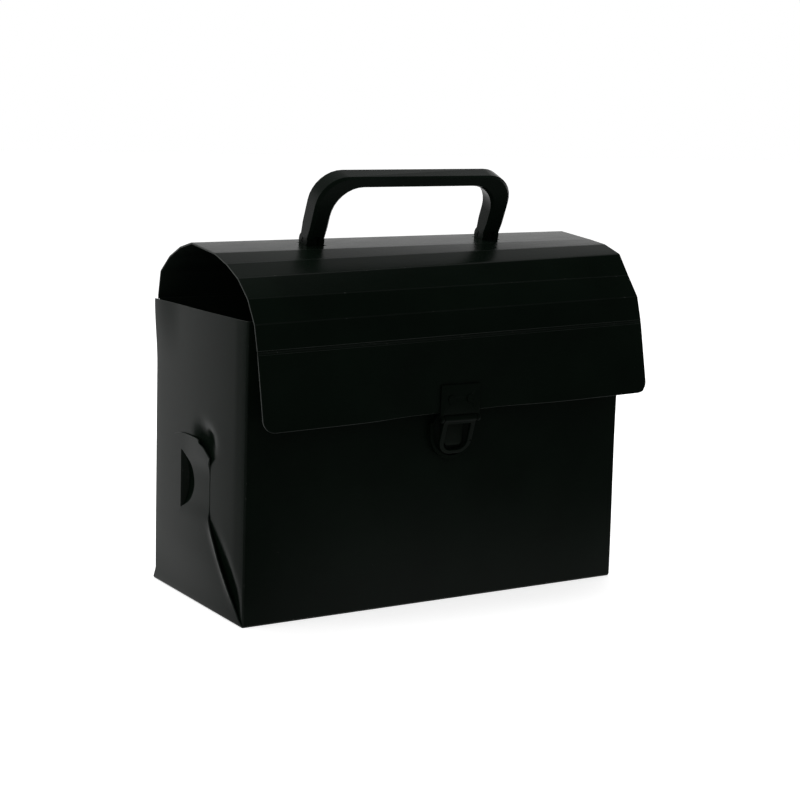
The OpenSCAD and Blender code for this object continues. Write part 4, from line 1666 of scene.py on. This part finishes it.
@dataclass
class Studio:
    """White floor and surroundings, soft lamps and the camera.

    Attributes:
        azimuth: Camera's turn round the case in degrees.
        elevation: Camera's height above the horizon in degrees.
        roll: Camera's roll in degrees.
        distance: Distance of the camera.
        aim: Sideways and upward shift of the camera from the case's origin.
        lens: Focal length in millimetres.
        sensor: Width of the camera's sensor in millimetres.
        clip: Distance at which the camera begins to see.
        lamps: The lamps: one above and behind, and a weaker one from the left.
        lamp_aim: Point that they shine at.
        light: Strength of the plain light all round.
        floor_size: Half the length of the floor.
        floor_drop: How far the floor lies below the case.
        floor_roughness: Roughness of the floor.
        floor_specular: Specular level of the floor.
        floor_greys: Brightness of the floor's colour, as such and in gloss.
        floor_glow: What lifts the floor to white where the camera sees it.
        gloom: Brightness, in gloss, of what lies away from the white backdrop.
        sky_heights: Heights of a direction between which the backdrop dims.
        sky_top: Brightness of the backdrop above them.
        sky_depths: Depths of a direction between which the backdrop begins.
        pool_turn: Turn of the light pool on the floor in degrees.
        pool_across: Places across the pool between which it begins.
        pool_along: Places along the pool between which it begins.
    """

    azimuth: float = -32.42
    elevation: float = 9.60
    roll: float = 1.86
    distance: float = 0.93674
    aim: Point2 = (0.00482, 0.09346)
    lens: float = 79.65
    sensor: float = 36
    clip: float = 0.01
    lamps: tuple[Lamp, ...] = (
        Lamp(name="top_lamp", place=(0.15, 0.45, 1.15), size=0.9, power=9.0),
        Lamp(name="left_lamp", place=(-1.2, 0.1, 0.75), size=0.8, power=4.0),
    )
    lamp_aim: Point3 = (0, 0, 0.08)
    light: float = 0.55
    floor_size: float = 6.0
    floor_drop: float = 0.05 * MM
    floor_roughness: float = 0.9
    floor_specular: float = 0.1
    floor_greys: Point2 = (0.82, 0.05)
    floor_glow: float = 0.62
    gloom: float = 0.04
    sky_heights: Point2 = (0.2, 0.5)
    sky_top: float = 0.45
    sky_depths: Point2 = (-0.15, 0.2)
    pool_turn: float = -32.2
    pool_across: Point2 = (-0.2, -0.04)
    pool_along: Point2 = (-0.45, 0.1)

    def build(self) -> None:
        """Builds floor, world, lamps and camera."""
        self.floor()
        self.world()
        for lamp in self.lamps:
            lamp.build(self.lamp_aim)
        self.camera()

    def floor(self) -> None:
        """A pale floor that takes the case's shadow and goes over into white."""
        size = self.floor_size
        mesh = bpy.data.meshes.new("floor")
        corners = [(-size, -size, 0), (size, -size, 0), (size, size, 0), (-size, size, 0)]
        mesh.from_pydata(corners, [], [(0, 1, 2, 3)])
        obj = bpy.data.objects.new("floor", mesh)
        bpy.context.scene.collection.objects.link(obj)
        obj.location.z = CAD_BOX[0].z - self.floor_drop
        material = bpy.data.materials.new("white_floor")
        material.use_nodes = True
        wiring = Wiring(material.node_tree)
        seen, gloss = wiring.rays()
        place = wiring.add("ShaderNodeTexCoord").outputs["Object"]
        turn = (0, 0, math.radians(self.pool_turn))
        turned = wiring.add("ShaderNodeMapping", Vector=place, Rotation=turn).outputs["Vector"]
        split = wiring.add("ShaderNodeSeparateXYZ", Vector=turned).outputs
        across = wiring.remap(split["X"], self.pool_across, (0, 1), Ease.SMOOTH)
        along = wiring.remap(split["Y"], self.pool_along, (0, 1), Ease.SMOOTH)
        both = wiring.combine("MULTIPLY", across, along)
        pool = wiring.remap(both, (0, 1), (self.gloom, 1), Ease.SMOOTH)
        plain = wiring.mix(Blend.NUMBER, seen, 0, self.floor_glow)
        shader = material.node_tree.nodes["Principled BSDF"]
        for name, value in (
            ("Roughness", self.floor_roughness),
            ("Specular IOR Level", self.floor_specular),
            ("Base Color", wiring.mix(Blend.NUMBER, gloss, *self.floor_greys)),
            ("Emission Color", (1, 1, 1, 1)),
            ("Emission Strength", wiring.mix(Blend.NUMBER, gloss, plain, pool)),
        ):
            wiring.put(shader.inputs[name], value)
        mesh.materials.append(material)

    def world(self) -> None:
        """White surroundings; in gloss they are bright behind the case and dim elsewhere."""
        world = bpy.data.worlds.new("studio")
        bpy.context.scene.world = world
        world.use_nodes = True
        wiring = Wiring(world.node_tree)
        background = world.node_tree.nodes["Background"]
        place = wiring.add("ShaderNodeTexCoord").outputs["Generated"]
        split = wiring.add("ShaderNodeSeparateXYZ", Vector=place).outputs
        height = wiring.remap(split["Z"], self.sky_heights, (1, self.sky_top), Ease.SMOOTH)
        behind = wiring.remap(split["Y"], self.sky_depths, (self.gloom, 1), Ease.SMOOTH)
        sky = wiring.combine("MULTIPLY", height, behind)
        seen, gloss = wiring.rays()
        plain = wiring.mix(Blend.NUMBER, seen, self.light, 1)
        wiring.put(background.inputs["Strength"], wiring.mix(Blend.NUMBER, gloss, plain, sky))
        wiring.put(background.inputs["Color"], (1, 1, 1, 1))

    def camera(self) -> None:
        """The camera at the case's front left."""
        a, e, r = (math.radians(v) for v in (self.azimuth, self.elevation, self.roll))
        back = Vector((math.sin(a) * math.cos(e), -math.cos(a) * math.cos(e), math.sin(e)))
        right = (-back).cross(Vector((0, 0, 1))).normalized()
        up = right.cross(-back)
        across = math.cos(r) * right + math.sin(r) * up
        upward = math.cos(r) * up - math.sin(r) * right
        data = bpy.data.cameras.new("camera")
        data.lens = self.lens
        data.sensor_width = self.sensor
        data.clip_start = self.clip
        camera = bpy.data.objects.new("camera", data)
        bpy.context.scene.collection.objects.link(camera)
        turn = Matrix((across, upward, back)).transposed().to_4x4()
        spot = back * self.distance + right * self.aim[0] + up * self.aim[1]
        camera.matrix_world = Matrix.Translation(spot) @ turn
        bpy.context.scene.camera = camera


def settings() -> None:
    """Colour management: the Standard view transform."""
    bpy.context.scene.view_settings.view_transform = "Standard"


def main() -> None:
    """Builds and dresses the sub-assemblies in order."""
    logging.basicConfig(level=logging.INFO, format="%(name)s: %(message)s")
    settings()
    FoldedCase().build()
    vault = Vault()
    vault.build()
    FrontFlap(vault).build()
    PushLock().build()
    Handle().build()
    Studio().build()


if __name__ == "__main__":
    main()
